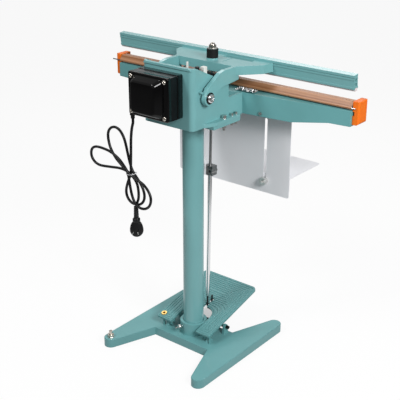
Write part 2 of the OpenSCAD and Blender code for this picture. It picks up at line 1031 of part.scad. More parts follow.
// Line of the tape in Y and Z: up the front of the bar, over its top and down round the rod
rod_r = 2.5;
rod_at = [-jaw_y + jaw_w + 0.5, beam_top + 0.35 * jaw_h];
function tape_line(k) =
    let (half = jaw_w / 2 + 0.3 + k)
    concat(
        [[-jaw_y - half, beam_top + seat_gap], [-jaw_y - half, tape_top - tape_t + k]],
        [[-jaw_y + half, tape_top - tape_t + k]],
        arc(rod_at, rod_r + seat_gap + k, 25, -90, 10)
    );
function reversed(p) = [for (i = [len(p) - 1:-1:0]) p[i]];

module ptfe_tape() {
    color([0.62, 0.36, 0.2])
    yz_slab(-jaw_half + 0.5, jaw_half - 0.5)
        polygon(concat(tape_line(tape_t), reversed(tape_line(0))));
}

// Steel rod in the rear fold of the tape, which sticks out further at the left end,
// and the pressed plate that holds the tape beside the head
module tape_clamp() {
    color(steel)
    translate([10, rod_at[0], rod_at[1]])
        along_x(jaw_len + 40, rod_r);
    color(steel)
    translate([-120, -beam_rear - 28, beam_top]) {
        difference() {
            translate([0, 0, 1])
                cube([62, 24, 1.5]);
            translate([14, 12, -1])
                cylinder(h = 6, r = 3 + run_gap);
            translate([46, 12, -1])
                cylinder(h = 6, r = 3 + run_gap);
        }
        for (x = [14, 46])
            translate([x, 12, 0.1]) {
                cylinder(h = 5.5, r = 3);
                translate([0, 0, 2.5])
                    cylinder(h = 4, r = 5);
            }
    }
}

// Clamp block and tension screw at each end of the element
module element_terminals() {
    for (side = [-1, 1]) {
        color([0.8, 0.65, 0.3])
        translate([side * (jaw_half + 4.5), -jaw_y, 0]) {
            translate([-2.4, -6, beam_top - 20])
                cube([4.8, 12, jaw_h + 20 + pad_t - 0.2]);
            translate([0, 0, beam_top - 14])
                along_x(24, 3);
            translate([-0.4, 9, beam_top - 9])
                toward_operator(4, 2.4);
        }
    }
}

cap_in = jaw_half + 0.4;
cap_len = 19;
cap_low = beam_top - beam_end_h + 4;
cap_high = tape_top + 2;
module end_cap(side) {
    wall = 2.5;
    y0 = jaw_y - 13;
    y1 = beam_front + 8;
    r = 5;
    low_r = 9;
    x1 = cap_len;
    color([0.95, 0.4, 0.15])
    mirror([side > 0 ? 0 : 1, 0, 0])
        translate([cap_in, 0, 0])
            difference() {
                intersection() {
                    translate([0, 0, cap_low])
                        linear_extrude(cap_high - cap_low)
                            polygon(concat(
                                [[0, -y1], [x1 - r, -y1]],
                                arc([x1 - r, -y1 + r], r, -90, 0, 6),
                                arc([x1 - r, -y0 - r], r, 0, 90, 6),
                                [[0, -y0]]
                            ));
                    // Rounded lower and upper edges of the outer face
                    rotate([90, 0, 0])
                        linear_extrude(2 * jaw_y)
                            polygon(concat(
                                [[-1, cap_low - 1]],
                                [[x1 - low_r, cap_low - 1]],
                                arc([x1 - low_r, cap_low + low_r], low_r, -90, 0, 6),
                                arc([x1 - 2, cap_high - 2], 2, 0, 90, 3),
                                [[-1, cap_high]]
                            ));
                }
                translate([-1, -y1 + wall, cap_low + low_r])
                    cube([x1 - wall + 1, y1 - y0 - 2 * wall, cap_high - cap_low - wall - low_r]);
                // Rear slot through which the clamp block is seen
                translate([-1, -y0 - wall - 1, beam_top - 14])
                    cube([6, wall + 2, 11]);
            }
}

module end_cap_left() {
    end_cap(1);
}

module end_cap_right() {
    end_cap(-1);
}

// ---------------------------------------------------------------- press frame and upper jaw

function frame_half() = [
    [160, -jaw_y + 2], [152, -112], [arm_out + 4, -62], [arm_out, -52]
];
module frame_plan() {
    polygon(both_sides(frame_half()));
}
module frame_inner() {
    polygon(both_sides([
        [160 - 2 * frame_wall, -jaw_y + 24], [152 - frame_wall, -112], [arm_out - 8, -66], [arm_out - 16, -60]
    ]));
}

// Arm profile in Y and Z, from the pivot boss up to the level of the plate
module arm_profile() {
    top = frame_top;
    union() {
        polygon(concat(
            [
                [pivot_y + boss_r - 1, pivot_z + 6], [pivot_y + 8, pivot_z + 27], [pivot_y - 30, top - 12],
                [pivot_y - 43, top - 4], [-4, top], [-64, top], [-64, top - frame_h - 12], [-48, top - 38]
            ],
            arc([-10, pivot_z - 46], 66, 90, 38, 10)
        ));
        translate([pivot_y, pivot_z])
            circle(r = boss_r);
    }
}

module bar_block() {
    opened()
        translate([-jaw_half - 1, -jaw_y - 60, bar_z - 40])
            cube([jaw_len + 2, 60 + bar_w / 2, bar_h + 100]);
}

module press_frame() {
    color(paint)
    difference() {
        union() {
            translate([0, 0, frame_top - frame_h])
                linear_extrude(frame_h)
                    frame_plan();
            for (side = [-1, 1])
                yz_slab(side > 0 ? arm_in : -arm_out, side > 0 ? arm_out : -arm_in)
                    arm_profile();
            intersection() {
                rod_frame(rod_top - frame_h - 8)
                    cylinder(h = frame_h + 8, r = sleeve_d / 2);
                translate([-sleeve_d, -jaw_y, frame_top - frame_h])
                    cube([2 * sleeve_d, jaw_y, 2 * frame_h]);
            }
        }
        translate([0, 0, frame_top - frame_h - 1])
            linear_extrude(frame_h - frame_skin + 1)
                frame_inner();
        bar_block();
        translate([0, pivot_y, pivot_z])
            along_x(2 * arm_out + 10, pivot_d / 2 + run_gap);
        // Slotted hole for the rod, long enough for the swing of the frame
        for (y = [0:2:8])
            translate([0, y - 1, 0])
                rod_frame(rod_top - 40)
                    cylinder(h = 60, r = stud_d / 2 + 1);
        translate([-104, -142, frame_top - frame_h])
            cube([99, 20, frame_h + 1]);
        translate([-42, -118, frame_top - frame_h])
            cube([3, 42, frame_h + 1]);
        for (x = [-bar_screw_x, bar_screw_x])
            opened()
                translate([x, -jaw_y + 32, bar_z + bar_screw_h])
                    toward_operator(40, 2.5 + run_gap);
    }
}

// Extruded section of the upper jaw: lips above and below a web, and a T-slot in the top
bar_screw_x = 135;
bar_screw_h = 14.5;
module bar_section() {
    w = bar_w / 2;
    groove = bar_h - 9.5;
    difference() {
        translate([-w, 0])
            square([bar_w, bar_h]);
        translate([-w - 1, groove])
            square([2.5, 2.5]);
        translate([w - 1.5, groove])
            square([2.5, 2.5]);
        translate([w - 1, 6])
            square([2, bar_h - 20]);
        translate([-w - 1, 6])
            square([2, bar_h - 20]);
        translate([-2, bar_h - 18])
            square([4, 9]);
        translate([-4.5, bar_h - 16])
            square([9, 5]);
        translate([-strip_w / 2, -1])
            square([strip_w, 4]);
        translate([-3.5, 8])
            square([7, 9]);
    }
}

module upper_jaw_bar() {
    color(paint)
    opened()
        difference() {
            translate([-jaw_half, -jaw_y, bar_z])
                rotate([90, 0, 90])
                    linear_extrude(jaw_len)
                        bar_section();
            for (x = [-bar_screw_x, bar_screw_x])
                translate([x, -jaw_y + bar_w, bar_z + bar_screw_h])
                    toward_operator(bar_w, 2.5 + run_gap);
        }
}

module bar_screws() {
    color(steel)
    opened()
        for (x = [-bar_screw_x, bar_screw_x])
            translate([x, -jaw_y + bar_w + 3.8, bar_z + bar_screw_h]) {
                toward_operator(bar_w + 3.8, 2.5);
                translate([0, 3, 0])
                    toward_operator(3, 4.5);
            }
}

module silicone_strip() {
    color([0.93, 0.92, 0.9])
    opened()
        translate([-jaw_half, -jaw_y - strip_w / 2 + 0.3, bar_z - strip_drop])
            cube([jaw_len, strip_w - 0.6, strip_drop + 2.7]);
}

// ---------------------------------------------------------------- transformer and wiring

module trafo_block(y0, y1, k = 0) {
    translate([trafo_x0 + k, y0, trafo_z0 + k])
        cube([trafo_w - 2 * k, y1 - y0, trafo_h - 2 * k]);
}

module screw_places() {
    for (x = [trafo_x0 + screw_in, trafo_x1 - screw_in], z = [trafo_z0 + screw_in, trafo_z1 - screw_in])
        translate([x, 0, z])
            children();
}

coil_w = 82;
coil_h = 84;
module transformer_core() {
    color([0.16, 0.16, 0.17])
    difference() {
        union() {
            trafo_block(stack_front, stack_rear, 1.5);
            // Coil that stands into the frame and into the dome of the cover
            translate([trafo_mid - coil_w / 2 + 4, head_rear + 2, trafo_zm - coil_h / 2 + 8])
                cube([coil_w - 8, rim_rear + trafo_dome - head_rear - 12, coil_h - 16]);
        }
        screw_places()
            translate([0, stack_rear + 1, 0])
                toward_operator(trafo_stack + 2, 2.5 + run_gap);
    }
}

// Dome of the cover: a raised face inside sloping sides
module dome(k) {
    slope = 9;
    hull() {
        translate([
            trafo_mid - coil_w / 2 - slope + k, rim_rear - 2 * cover_t, trafo_zm - coil_h / 2 - slope + k
        ])
            cube([coil_w + 2 * (slope - k), 2 * cover_t, coil_h + 2 * (slope - k)]);
        translate([trafo_mid - coil_w / 2 + k, rim_rear, trafo_zm - coil_h / 2 + k])
            cube([coil_w - 2 * k, trafo_dome - k, coil_h - 2 * k]);
    }
}

// Two pressed parts clamp the laminations: an open frame on the head, a domed cover at the rear
module transformer_cover() {
    color(black)
    difference() {
        union() {
            trafo_block(stack_rear, rim_rear);
            dome(0);
        }
        translate([0, -1, 0])
            trafo_block(stack_rear, rim_rear - cover_t + 1, cover_t);
        dome(cover_t);
        screw_places()
            translate([0, rim_rear + 1, 0])
                toward_operator(trafo_rim + 2, 2.5 + run_gap);
        translate([gland_x, gland_y, trafo_z0 - 1])
            cylinder(h = cover_t + 2, r = gland_r + run_gap);
    }
    color(black)
    difference() {
        trafo_block(head_rear, stack_front);
        translate([0, cover_t, 0])
            trafo_block(head_rear, stack_front, cover_t);
        translate([0, -cover_t, 0])
            trafo_block(head_rear, stack_front, 2 * screw_in);
        screw_places()
            translate([0, head_rear + 5, 0])
                toward_operator(10, 2.5 + run_gap);
    }
}

module transformer_screws() {
    color(steel)
    screw_places() {
        translate([0, rim_rear + 2, 0])
            toward_operator(rim_rear - head_rear + 8, 2.5);
        translate([0, rim_rear + 3.5, 0])
            toward_operator(3.4, 5);
    }
}

// Terminal strip and capacitor on the inner face of the head's right wall
wall_in = -head_x + head_wall + 0.2;
module terminal_strip() {
    color(black)
    translate([wall_in, 0, head_z]) {
        difference() {
            yz_slab(0, 12)
                polygon([[34, 146], [-10, 127], [-10, 115], [34, 134]]);
            for (y = [-4:9:32])
                translate([6, y, 127])
                    cylinder(h = 30, r = 3);
        }
        translate([13, 62, 135])
            cylinder(h = 26, r = 6);
        translate([0, 58, 139])
            cube([10, 8, 8]);
    }
}

// White plug housing on the right wall, and a white sleeve that stands up behind the rear wall
module wire_connector() {
    color([0.93, 0.93, 0.9])
    translate([0, 0, head_z]) {
        translate([wall_in, 37, 137])
            cube([12, 13, 22]);
        translate([-58, head_rear - head_wall - 14.2, 133]) {
            cube([12, 14, 12]);
            translate([4, 0, 10])
                cube([4, 4, 34]);
        }
    }
}

// Routes of the wires, with heights above the head's seat
wire_runs = [
    [
        [-52, 90, 132.6], [-51, 86, 118], [-48, 74, 103], [-52, 52, 73], [-40, 30, 43], [-24, 0, 28],
        [-18, -60, 40], [-18, -95, 40]
    ],
    [
        [-71, 43, 136.6], [-70, 43, 123], [-62, 44, 103], [-30, 50, 68], [4, 20, 33], [17, -60, 36],
        [17, -95, 36]
    ],
    [
        [-70, 8, 122.4], [-69, 8.5, 111], [-56, 12, 93], [-20, 24, 53], [16, 10, 40], [19, -50, 44],
        [18, -95, 44]
    ],
    [
        [trafo_mid, 107.6, trafo_zm - head_z], [trafo_mid, 92, trafo_zm - head_z], [4, 70, 93], [-30, 50, 103],
        [-66, 28, 115], [-69, 27, 130.5]
    ]
];
module head_wires() {
    color([0.5, 0.2, 0.15])
    translate([0, 0, head_z])
        for (run = wire_runs)
            swept_tube(run, 1.6, 6, side = [1, -0.9, 1]);
}

// The switch hangs on the inner face of the head's left wall, under the rear edge of the press frame
switch_w = 10;
switch_x = head_x - head_wall - switch_w;
lever_y = -22;
lever_z = pivot_z + 22;
module microswitch() {
    color(black)
    difference() {
        union() {
            translate([switch_x, lever_y - 18, lever_z - 20])
                cube([switch_w, 28, 17]);
            for (x = [switch_x, switch_x + switch_w - 2])
                translate([x, lever_y - 3, lever_z - 4])
                    cube([2, 6, 6]);
        }
        translate([switch_x - 1, lever_y, lever_z])
            rotate([0, 90, 0])
                cylinder(h = switch_w + 2, r = 1 + run_gap);
    }
}

module microswitch_lever() {
    tip_y = -58;
    rise = frame_top - frame_h - 1.8 - lever_z;
    color(steel)
    translate([0, lever_y, lever_z]) {
        translate([switch_x + 0.1, 0, 0])
            rotate([0, 90, 0])
                cylinder(h = switch_w - 0.2, r = 1);
        translate([switch_x + 2.3, 0, 0])
            rotate([-atan2(rise, lever_y - tip_y), 0, 0])
                mirror([0, 1, 0])
                    translate([0, 0, -0.5])
                        cube([switch_w - 4.6, norm([rise, lever_y - tip_y]), 1]);
    }
}

// ---------------------------------------------------------------- controls

module control_panel() {
    color([0.75, 0.76, 0.77])
    difference() {
        translate([-panel_x, -beam_front - panel_t, panel_low])
            cube([2 * panel_x, panel_t, panel_high - panel_low]);
        translate([knob_x, -beam_front + 1, panel_mid])
            toward_operator(10, 4.5);
        translate([lamp_x, -beam_front + 1, panel_mid])
            toward_operator(10, 5 + run_gap);
        translate([rocker_x - 11, -beam_front - 6, panel_mid - 8])
            cube([22, 8, 16]);
    }
    // Frame that the rocker's pins turn in
    color(black)
    difference() {
        union() {
            translate([rocker_x - 11, -beam_front - panel_t, panel_mid - 8])
                cube([22, 8, 16]);
            translate([rocker_x - 13, -beam_front - panel_t - 1.5, panel_mid - 10])
                cube([26, 1.5, 20]);
        }
        translate([rocker_x - 9.2, -beam_front - 6, panel_mid - 6.8])
            cube([18.4, 16, 13.6]);
        translate([rocker_x, -beam_front + rocker_in, panel_mid])
            along_x(21, 1 + run_gap);
    }
}
rocker_in = 2;

module timer_knob() {
    color(black)
    translate([knob_x, -beam_front - panel_t - 0.6, panel_mid])
        rotate([90, 0, 0])
            difference() {
                union() {
                    cylinder(h = 4, r = 15);
                    cylinder(h = 15, r = 11.5);
                    for (i = [0:11])
                        rotate([0, 0, 30 * i])
                            translate([11.5, 0, 4])
                                cylinder(h = 11, r = 1.1, $fn = 16);
                }
                translate([0, 0, -1])
                    cylinder(h = 9, r = 3 + run_gap);
                translate([-0.6, 4, 14.2])
                    cube([1.2, 8, 2]);
            }
}

module timer_unit() {
    color([0.2, 0.25, 0.22])
    difference() {
        union() {
            translate([knob_x - 16, -beam_front + 0.3, panel_mid - 11])
                cube([32, 30, 22]);
            translate([knob_x, -beam_front + 1, panel_mid])
                toward_operator(8, 3);
        }
        translate([knob_x - 13, -beam_front + 3, panel_mid - 8])
            cube([26, 24, 16]);
    }
}

module power_rocker() {
    color([0.7, 0.1, 0.1])
    translate([rocker_x, -beam_front + rocker_in, panel_mid]) {
        yz_slab(-8.9, 8.9)
            rotate([0, 0, 90])
                polygon([
                    [-5.6, 8.4], [-2, 7], [2, 6.6], [5.2, 6], [4.6, -3], [-4.6, -3]
                ]);
        along_x(20.6, 1);
    }
}

module indicator_lamp() {
    color([0.9, 0.3, 0.1])
    translate([lamp_x, -beam_front + 8, panel_mid]) {
        toward_operator(12, 5);
        translate([0, -10 - 0.1, 0])
            toward_operator(2, 6.5);
        translate([0, -12, 0])
            sphere(r = 4.5);
    }
}

// ---------------------------------------------------------------- back plate and shelf

module slot_places() {
    for (side = [-1, 1])
        translate([side * slot_x, 0, 0])
            children();
}

module back_plate() {
    r = 6;
    half = shelf_w / 2;
    color([0.88, 0.89, 0.91])
    translate([0, -beam_front, 0])
        rotate([90, 0, 0])
            linear_extrude(sheet_t)
                difference() {
                    polygon(both_sides(concat(
                        arc([half - r, plate_low + r], r, -90, 0, 6),
                        [[half, plate_high]]
                    )));
                    slot_places()
                        union() {
                            translate([-slot_wide / 2, slot_low + slot_wide / 2])
                                square([slot_wide, slot_high - slot_low - slot_wide]);
                            translate([0, slot_low + slot_wide / 2])
                                circle(r = slot_wide / 2);
                            translate([0, slot_high - slot_wide / 2])
                                circle(r = slot_wide / 2);
                        }
                    for (x = [-plate_bolt_x, plate_bolt_x])
                        translate([x, plate_bolt_z])
                            circle(r = 2.5 + run_gap);
                }
}

module plate_bolts() {
    color(steel)
    for (x = [-plate_bolt_x, plate_bolt_x]) {
        rear = beam_rear + (plate_bolt_x - 100) * (beam_end_rear - beam_rear) / (jaw_half - 100);
        translate([x, -rear + 3, plate_bolt_z]) {
            toward_operator(beam_front - rear + sheet_t + 8, 2.5);
            translate([0, 0.8, 0])
                toward_operator(3, 5);
        }
        translate([x, -beam_front - sheet_t - 0.1, plate_bolt_z])
            rotate([90, 0, 0])
                hex(4, 9);
    }
}

module shelf_plate() {
    r = 10;
    half = shelf_w / 2;
    y0 = plate_y + seat_gap;
    leg = 38;
    color([0.9, 0.91, 0.93])
    difference() {
        union() {
            translate([0, 0, shelf_z - sheet_t])
                linear_extrude(sheet_t)
                    polygon(both_sides(concat(
                        [[half, -y0]],
                        arc([half - r, -y0 - shelf_d + r], r, 0, -90, 6)
                    )));
            translate([-half, -y0 - sheet_t, shelf_z - leg])
                cube([shelf_w, sheet_t, leg]);
        }
        slot_places()
            translate([0, -y0 + 1, shelf_z - bolt_drop])
                toward_operator(sheet_t + 2, bolt_r + run_gap);
    }
}

module shelf_clamps() {
    y0 = plate_y + seat_gap + sheet_t;
    color(steel)
    slot_places()
        translate([0, -y0, shelf_z - bolt_drop]) {
            translate([0, sheet_t + 22, 0])
                toward_operator(sheet_t + 22, bolt_r);
            toward_operator(5, 7);
            translate([0, y0 - beam_front + 12.3, 0])
                difference() {
                    toward_operator(12, 12);
                    translate([0, 1, 0])
                        toward_operator(14, bolt_r - 0.1);
                }
        }
}

// ---------------------------------------------------------------- power cord

module cord_gland() {
    color(black)
    translate([gland_x, gland_y, gland_z])
        difference() {
            union() {
                cylinder(h = trafo_z0 - gland_z + 4, r = gland_r);
                translate([0, 0, trafo_z0 - gland_z - 3])
                    cylinder(h = 3, r = gland_r + 2);
            }
            translate([0, 0, -1])
                cylinder(h = 1, r = cord_d / 2);
        }
}

module power_cord() {
    color(black)
        swept_tube(cord_route, cord_d / 2, 8);
}

// Loop that leaves the tie at point a and turns round a circle
function teardrop(a, c, r) =
    let (d = c - a, way = atan2(d[1], d[0]), half = 180 - acos(r / norm(d)))
    concat([a], arc(c, r, way - half, way + half, 16));

// The folded part of the cord, tied in its middle: two loops above the tie, two below it
module cord_hank() {
    color(black)
    translate([0, tie_at[1] + hank_t / 2, 0])
        rotate([90, 0, 0])
            linear_extrude(hank_t)
                difference() {
                    union() {
                        polygon(teardrop([92, 562], [150, 648], 28));
                        polygon(teardrop([92, 562], [213, 582], 29));
                        polygon(teardrop([90, 554], [86, 495], 32));
                        polygon(teardrop([86, 556], [43, 506], 36));
                        translate([tie_at[0] - 10, 546])
                            square([20, 26]);
                    }
                    translate([0, 380])
                        square([200, 84]);
                }
}

module power_plug() {
    color(black)
    translate(plug_at) {
        translate([0, 0, 34])
            cylinder(h = 37, r = cord_d / 2 + 3.2);
        translate([0, 0, 26])
            cylinder(h = 10, r = 10.5);
        rotate([0, 0, 35])
            rotate([90, 0, 0])
                linear_extrude(22, center = true)
                    union() {
                        circle(r = 19);
                        polygon([[-18.2, 5], [18.2, 5], [16, 20], [10.5, 29], [-10.5, 29], [-16, 20]]);
                    }
    }
    color(steel)
    translate(plug_at)
        rotate([0, 0, 35])
            for (side = [-1, 1])
                translate([side * 8, 11, -2])
                    rotate([0, side * 30, 0])
                        translate([-0.8, 0, -3.2])
                            cube([1.6, 18, 6.4]);
}

// ---------------------------------------------------------------- nodes

base_casting();
column_tube();
column_head_plate();
collar_wing_bolt();
levelling_bolt();
foot_pads();
pedal_plate();
pedal_pins();
pedal_stop_bar();
pedal_rest_pads();
pedal_insert();
rod_hook();
lower_rod();
rod_clamp();
clamp_screw();
upper_rod();
rod_bush();
return_spring();
rubber_sleeve();
sleeve_washer();
rod_nuts();
head_casting();
head_bolts();
jaw_beam();
beam_bolts();
lower_jaw_bar();
insulation_strip();
heating_element();
ptfe_tape();
tape_clamp();
element_terminals();
end_cap_left();
end_cap_right();
press_frame();
upper_jaw_bar();
bar_screws();
silicone_strip();
pivot_bolts();
pivot_washers();
transformer_core();
transformer_cover();
transformer_screws();
terminal_strip();
wire_connector();
head_wires();
microswitch();
microswitch_lever();
control_panel();
timer_knob();
timer_unit();
power_rocker();
indicator_lamp();
back_plate();
plate_bolts();
shelf_plate();
shelf_clamps();
cord_gland();
power_cord();
cord_hank();
power_plug();
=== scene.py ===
import bmesh
import bpy
import numpy as np
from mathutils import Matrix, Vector


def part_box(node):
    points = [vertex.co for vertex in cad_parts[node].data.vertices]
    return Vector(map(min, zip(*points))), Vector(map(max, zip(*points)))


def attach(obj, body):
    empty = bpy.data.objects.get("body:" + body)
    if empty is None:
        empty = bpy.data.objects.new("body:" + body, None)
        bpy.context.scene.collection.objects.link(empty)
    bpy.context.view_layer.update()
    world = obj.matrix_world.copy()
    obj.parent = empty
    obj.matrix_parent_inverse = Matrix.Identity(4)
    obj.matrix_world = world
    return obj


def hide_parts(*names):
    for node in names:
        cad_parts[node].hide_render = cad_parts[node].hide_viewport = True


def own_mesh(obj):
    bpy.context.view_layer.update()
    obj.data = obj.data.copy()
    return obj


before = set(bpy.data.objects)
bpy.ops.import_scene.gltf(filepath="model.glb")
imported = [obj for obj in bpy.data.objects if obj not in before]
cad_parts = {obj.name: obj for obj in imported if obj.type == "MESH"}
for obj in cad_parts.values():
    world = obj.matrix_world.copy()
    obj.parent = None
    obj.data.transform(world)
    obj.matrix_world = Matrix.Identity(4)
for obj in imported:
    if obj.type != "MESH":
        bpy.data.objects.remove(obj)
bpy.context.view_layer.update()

# ---------------------------------------------------------------- camera
# A long lens well behind the machine, above the level of the jaws and to the right of the transformer.
# It looks at a point about halfway up the machine.

AIM = Vector((-0.0244, 0.0, 0.4570))
EYE = Vector((-1.4651, 1.7864, 1.4229))

lens = bpy.data.cameras.new("camera")
lens.sensor_width = 36
lens.lens = 79.64
camera = bpy.data.objects.new("camera", lens)
bpy.context.collection.objects.link(camera)
camera.location = EYE
camera.rotation_euler = (AIM - EYE).to_track_quat("-Z", "Y").to_euler()
bpy.context.scene.camera = camera

# ---------------------------------------------------------------- power cord
# A round three-core mains lead in black PVC, folded by hand into two loops above a plastic tie and two
# below it. It hangs from the gland under the transformer, and its strands pass one another at the tie in
# three depths. The points of its route are in millimetres.

CORD_R = 0.00375
FAR, MID, NEAR = 151.0, 159.0, 167.0
GLAND = (75.9, 157.9, 716.5)

hang = [GLAND, (75.9, 157.9, 704), (79, 159, 690), (82, 159, 674), (84, 159, 655), (85, 159, 635),
        (86, 159, 610), (87, 159, 592), (87.8, 158.8, 577)]
first_pass = [(89.5, 156.8, 565), (92.8, 154, 555)]
left_loop = [(99, 152, 544), (108.5, FAR, 524), (115, FAR, 503), (114.5, FAR, 487), (107.5, FAR, 474.5),
             (96, FAR, 467), (82, FAR, 465.5), (68, FAR, 468.5), (56.5, FAR, 476.5), (49.5, FAR, 488),
             (48, FAR, 502), (52, FAR, 517), (61.5, FAR, 532)]
second_pass = [(74, FAR, 546), (84, FAR, 556), (91, FAR, 566)]
tall_loop = [(97, FAR, 580), (103, FAR, 600), (110, FAR, 628), (116, FAR, 647), (124.5, FAR, 661.5),
             (135.5, FAR, 671.4), (149, FAR, 675), (162.5, 151.5, 671.4), (172.4, 152, 661.5),
             (176, 152.5, 648), (174, 153, 631), (167.5, 154, 614), (157.5, 155, 600), (143, 157, 587),
             (125, MID, 576)]
third_pass = [(106, 163, 567), (88, 166, 560), (72, NEAR, 553)]
right_loop = [(54, NEAR, 547), (36, NEAR, 540), (21, NEAR, 528), (11.5, NEAR, 512), (11, NEAR, 495),
              (18, NEAR, 480.5), (31, NEAR, 471), (46, NEAR, 468), (60, NEAR, 472), (71, NEAR, 481.5),
              (79, NEAR, 498), (84.5, NEAR, 520)]
fourth_pass = [(88, NEAR, 541), (91, NEAR, 556), (97, NEAR, 568)]
low_loop = [(108, NEAR, 580), (122, 166, 591), (142, 165, 601), (163, 164, 607), (184, 164, 609.5),
            (202, 163, 609.5), (217.5, 162.5, 607), (229.4, 162, 600), (236, 161, 588.7),
            (236, 160.5, 575.3), (229.4, 160, 564), (217, 160, 557), (200, 160, 555), (165, 160, 559),
            (131, MID, 563)]
last_pass = [(108, MID, 562), (91, MID, 556), (76, MID, 545)]
tail = [(66, MID, 531), (62, MID, 510), (63, MID, 490), (69, MID, 475), (73, MID, 464)]

route = np.array(
    hang + first_pass + left_loop + second_pass + tall_loop + third_pass
    + right_loop + fourth_pass + low_loop + last_pass + tail
) / 1000


def smooth_route(points, steps):
    """Catmull-Rom line: each span blends the cubic of its four nearest points, as whole arrays."""
    padded = np.vstack([2 * points[0] - points[1], points, 2 * points[-1] - points[-2]])
    a, b, c, d = (p[:, None, :] for p in (padded[:-3], padded[1:-2], padded[2:-1], padded[3:]))
    t = np.linspace(0, 1, steps, endpoint=False)[None, :, None]
    square = (2 * a - 5 * b + 4 * c - d) * t ** 2
    cube = (3 * b - a - 3 * c + d) * t ** 3
    spans = 0.5 * (2 * b + (c - a) * t + square + cube)
    return np.vstack([spans.reshape(-1, 3), points[-1]])


def even_spacing(points, count):
    """Resamples a line so that its points lie at equal distances along it."""
    run = np.concatenate([[0], np.cumsum(np.linalg.norm(np.diff(points, axis=0), axis=1))])
    at = np.linspace(0, run[-1], count)
    return np.column_stack([np.interp(at, run, points[:, k]) for k in range(3)])


def turning_frames(line):
    """Two unit vectors square to the line at each point, carried along by projection so they never spin."""
    ahead = np.gradient(line, axis=0)
    ahead /= np.linalg.norm(ahead, axis=1, keepdims=True)
    side = np.empty_like(line)
    start = np.cross(ahead[0], (0, 1, 0.1))
    side[0] = start / np.linalg.norm(start)
    for i in range(1, len(line)):
        carried = side[i - 1] - ahead[i] * (side[i - 1] @ ahead[i])
        side[i] = carried / np.linalg.norm(carried)
    return side, np.cross(ahead, side)


SAME_POINT = 1e-7


def skin(name, rows, closed=True, caps=True):
    """Mesh over a grid of points (row, column, xyz): four neighbours make a face, and when it is closed the
    last column joins the first and flat caps close its ends."""
    count, width = rows.shape[:2]
    i, k = np.meshgrid(np.arange(count - 1), np.arange(width if closed else width - 1), indexing="ij")
    after = (k + 1) % width
    here, above = i * width, (i + 1) * width
    quads = np.stack([here + k, here + after, above + after, above + k], axis=-1)
    faces = quads.reshape(-1, 4).tolist()
    if caps and closed:
        faces += [list(range(width)), list(range((count - 1) * width, count * width))]
    mesh = bpy.data.meshes.new(name)
    mesh.from_pydata(rows.reshape(-1, 3).tolist(), [], faces)
    mesh.polygons.foreach_set("use_smooth", [True] * len(faces))
    shell = bmesh.new()
    shell.from_mesh(mesh)
    bmesh.ops.remove_doubles(shell, verts=shell.verts, dist=SAME_POINT)
    bmesh.ops.recalc_face_normals(shell, faces=shell.faces)
    shell.to_mesh(mesh)
    shell.free()
    return mesh


def tube_rows(line, radius, sides=16):
    """Circle of the given radius (one value, or one per point) carried along the line."""
    side, up = turning_frames(line)
    angle = np.linspace(0, 2 * np.pi, sides, endpoint=False)
    ring = side[:, None] * np.cos(angle)[None, :, None] + up[:, None] * np.sin(angle)[None, :, None]
    reach = np.broadcast_to(np.asarray(radius, float), (len(line),))
    return line[:, None] + ring * reach[:, None, None]


def new_piece(name, mesh, body, material):
    """Links a mesh as a piece that rides on a body and takes the given material."""
    piece = bpy.data.objects.new(name, mesh)
    bpy.context.collection.objects.link(piece)
    mesh.materials.append(material)
    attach(piece, body)
    return piece


def node(tree, kind, **values):
    """Adds a node: names with a capital or i0, i1... are input sockets, and the others are its settings."""
    made = tree.nodes.new("ShaderNode" + kind)
    for key, value in values.items():
        if key[0].isupper():
            made.inputs[key.replace("_", " ")].default_value = value
        elif key[0] == "i" and key[1:].isdigit():
            made.inputs[int(key[1:])].default_value = value
        else:
            setattr(made, key, value)
    return made


def effect_group(name, inputs, outputs):
    """An empty node group with the named input and output sockets."""
    tree = bpy.data.node_groups.new(name, "ShaderNodeTree")
    for label, value in inputs.items():
        kind = "NodeSocketColor" if isinstance(value, tuple) else "NodeSocketFloat"
        tree.interface.new_socket(label, in_out="INPUT", socket_type=kind).default_value = value
    for label, kind in outputs.items():
        tree.interface.new_socket(label, in_out="OUTPUT", socket_type="NodeSocket" + kind)
    return tree, tree.nodes.new("NodeGroupInput"), tree.nodes.new("NodeGroupOutput")


# Skin of a moulding or of paint: a slow drift of shade, and a fine grain for the bump
skin_group, skin_in, skin_out = effect_group(
    "skin_unevenness",
    {"Colour": (0.5, 0.5, 0.5, 1), "Drift": 0.06, "Scale": 8.0, "Grain": 320.0},
    {"Colour": "Color", "Height": "Float", "Mask": "Float"},
)
spot = node(skin_group, "TexCoord")
cloud = node(skin_group, "TexNoise", Detail=4.0, Roughness=0.55)
skin_group.links.new(spot.outputs["Object"], cloud.inputs["Vector"])
skin_group.links.new(skin_in.outputs["Scale"], cloud.inputs["Scale"])
centred = node(skin_group, "Math", operation="SUBTRACT", i1=0.5)
skin_group.links.new(cloud.outputs["Fac"], centred.inputs[0])
drift = node(skin_group, "Math", operation="MULTIPLY")
skin_group.links.new(centred.outputs[0], drift.inputs[0])
skin_group.links.new(skin_in.outputs["Drift"], drift.inputs[1])
lift = node(skin_group, "Math", operation="MULTIPLY_ADD", i1=4.0, i2=1.0)
skin_group.links.new(drift.outputs[0], lift.inputs[0])
shade = node(skin_group, "HueSaturation")
skin_group.links.new(lift.outputs[0], shade.inputs["Value"])
skin_group.links.new(skin_in.outputs["Colour"], shade.inputs["Color"])
grain = node(skin_group, "TexNoise", Detail=2.0, Roughness=0.5)
skin_group.links.new(spot.outputs["Object"], grain.inputs["Vector"])
skin_group.links.new(skin_in.outputs["Grain"], grain.inputs["Scale"])
skin_group.links.new(shade.outputs["Color"], skin_out.inputs["Colour"])
skin_group.links.new(grain.outputs["Fac"], skin_out.inputs["Height"])
skin_group.links.new(cloud.outputs["Fac"], skin_out.inputs["Mask"])


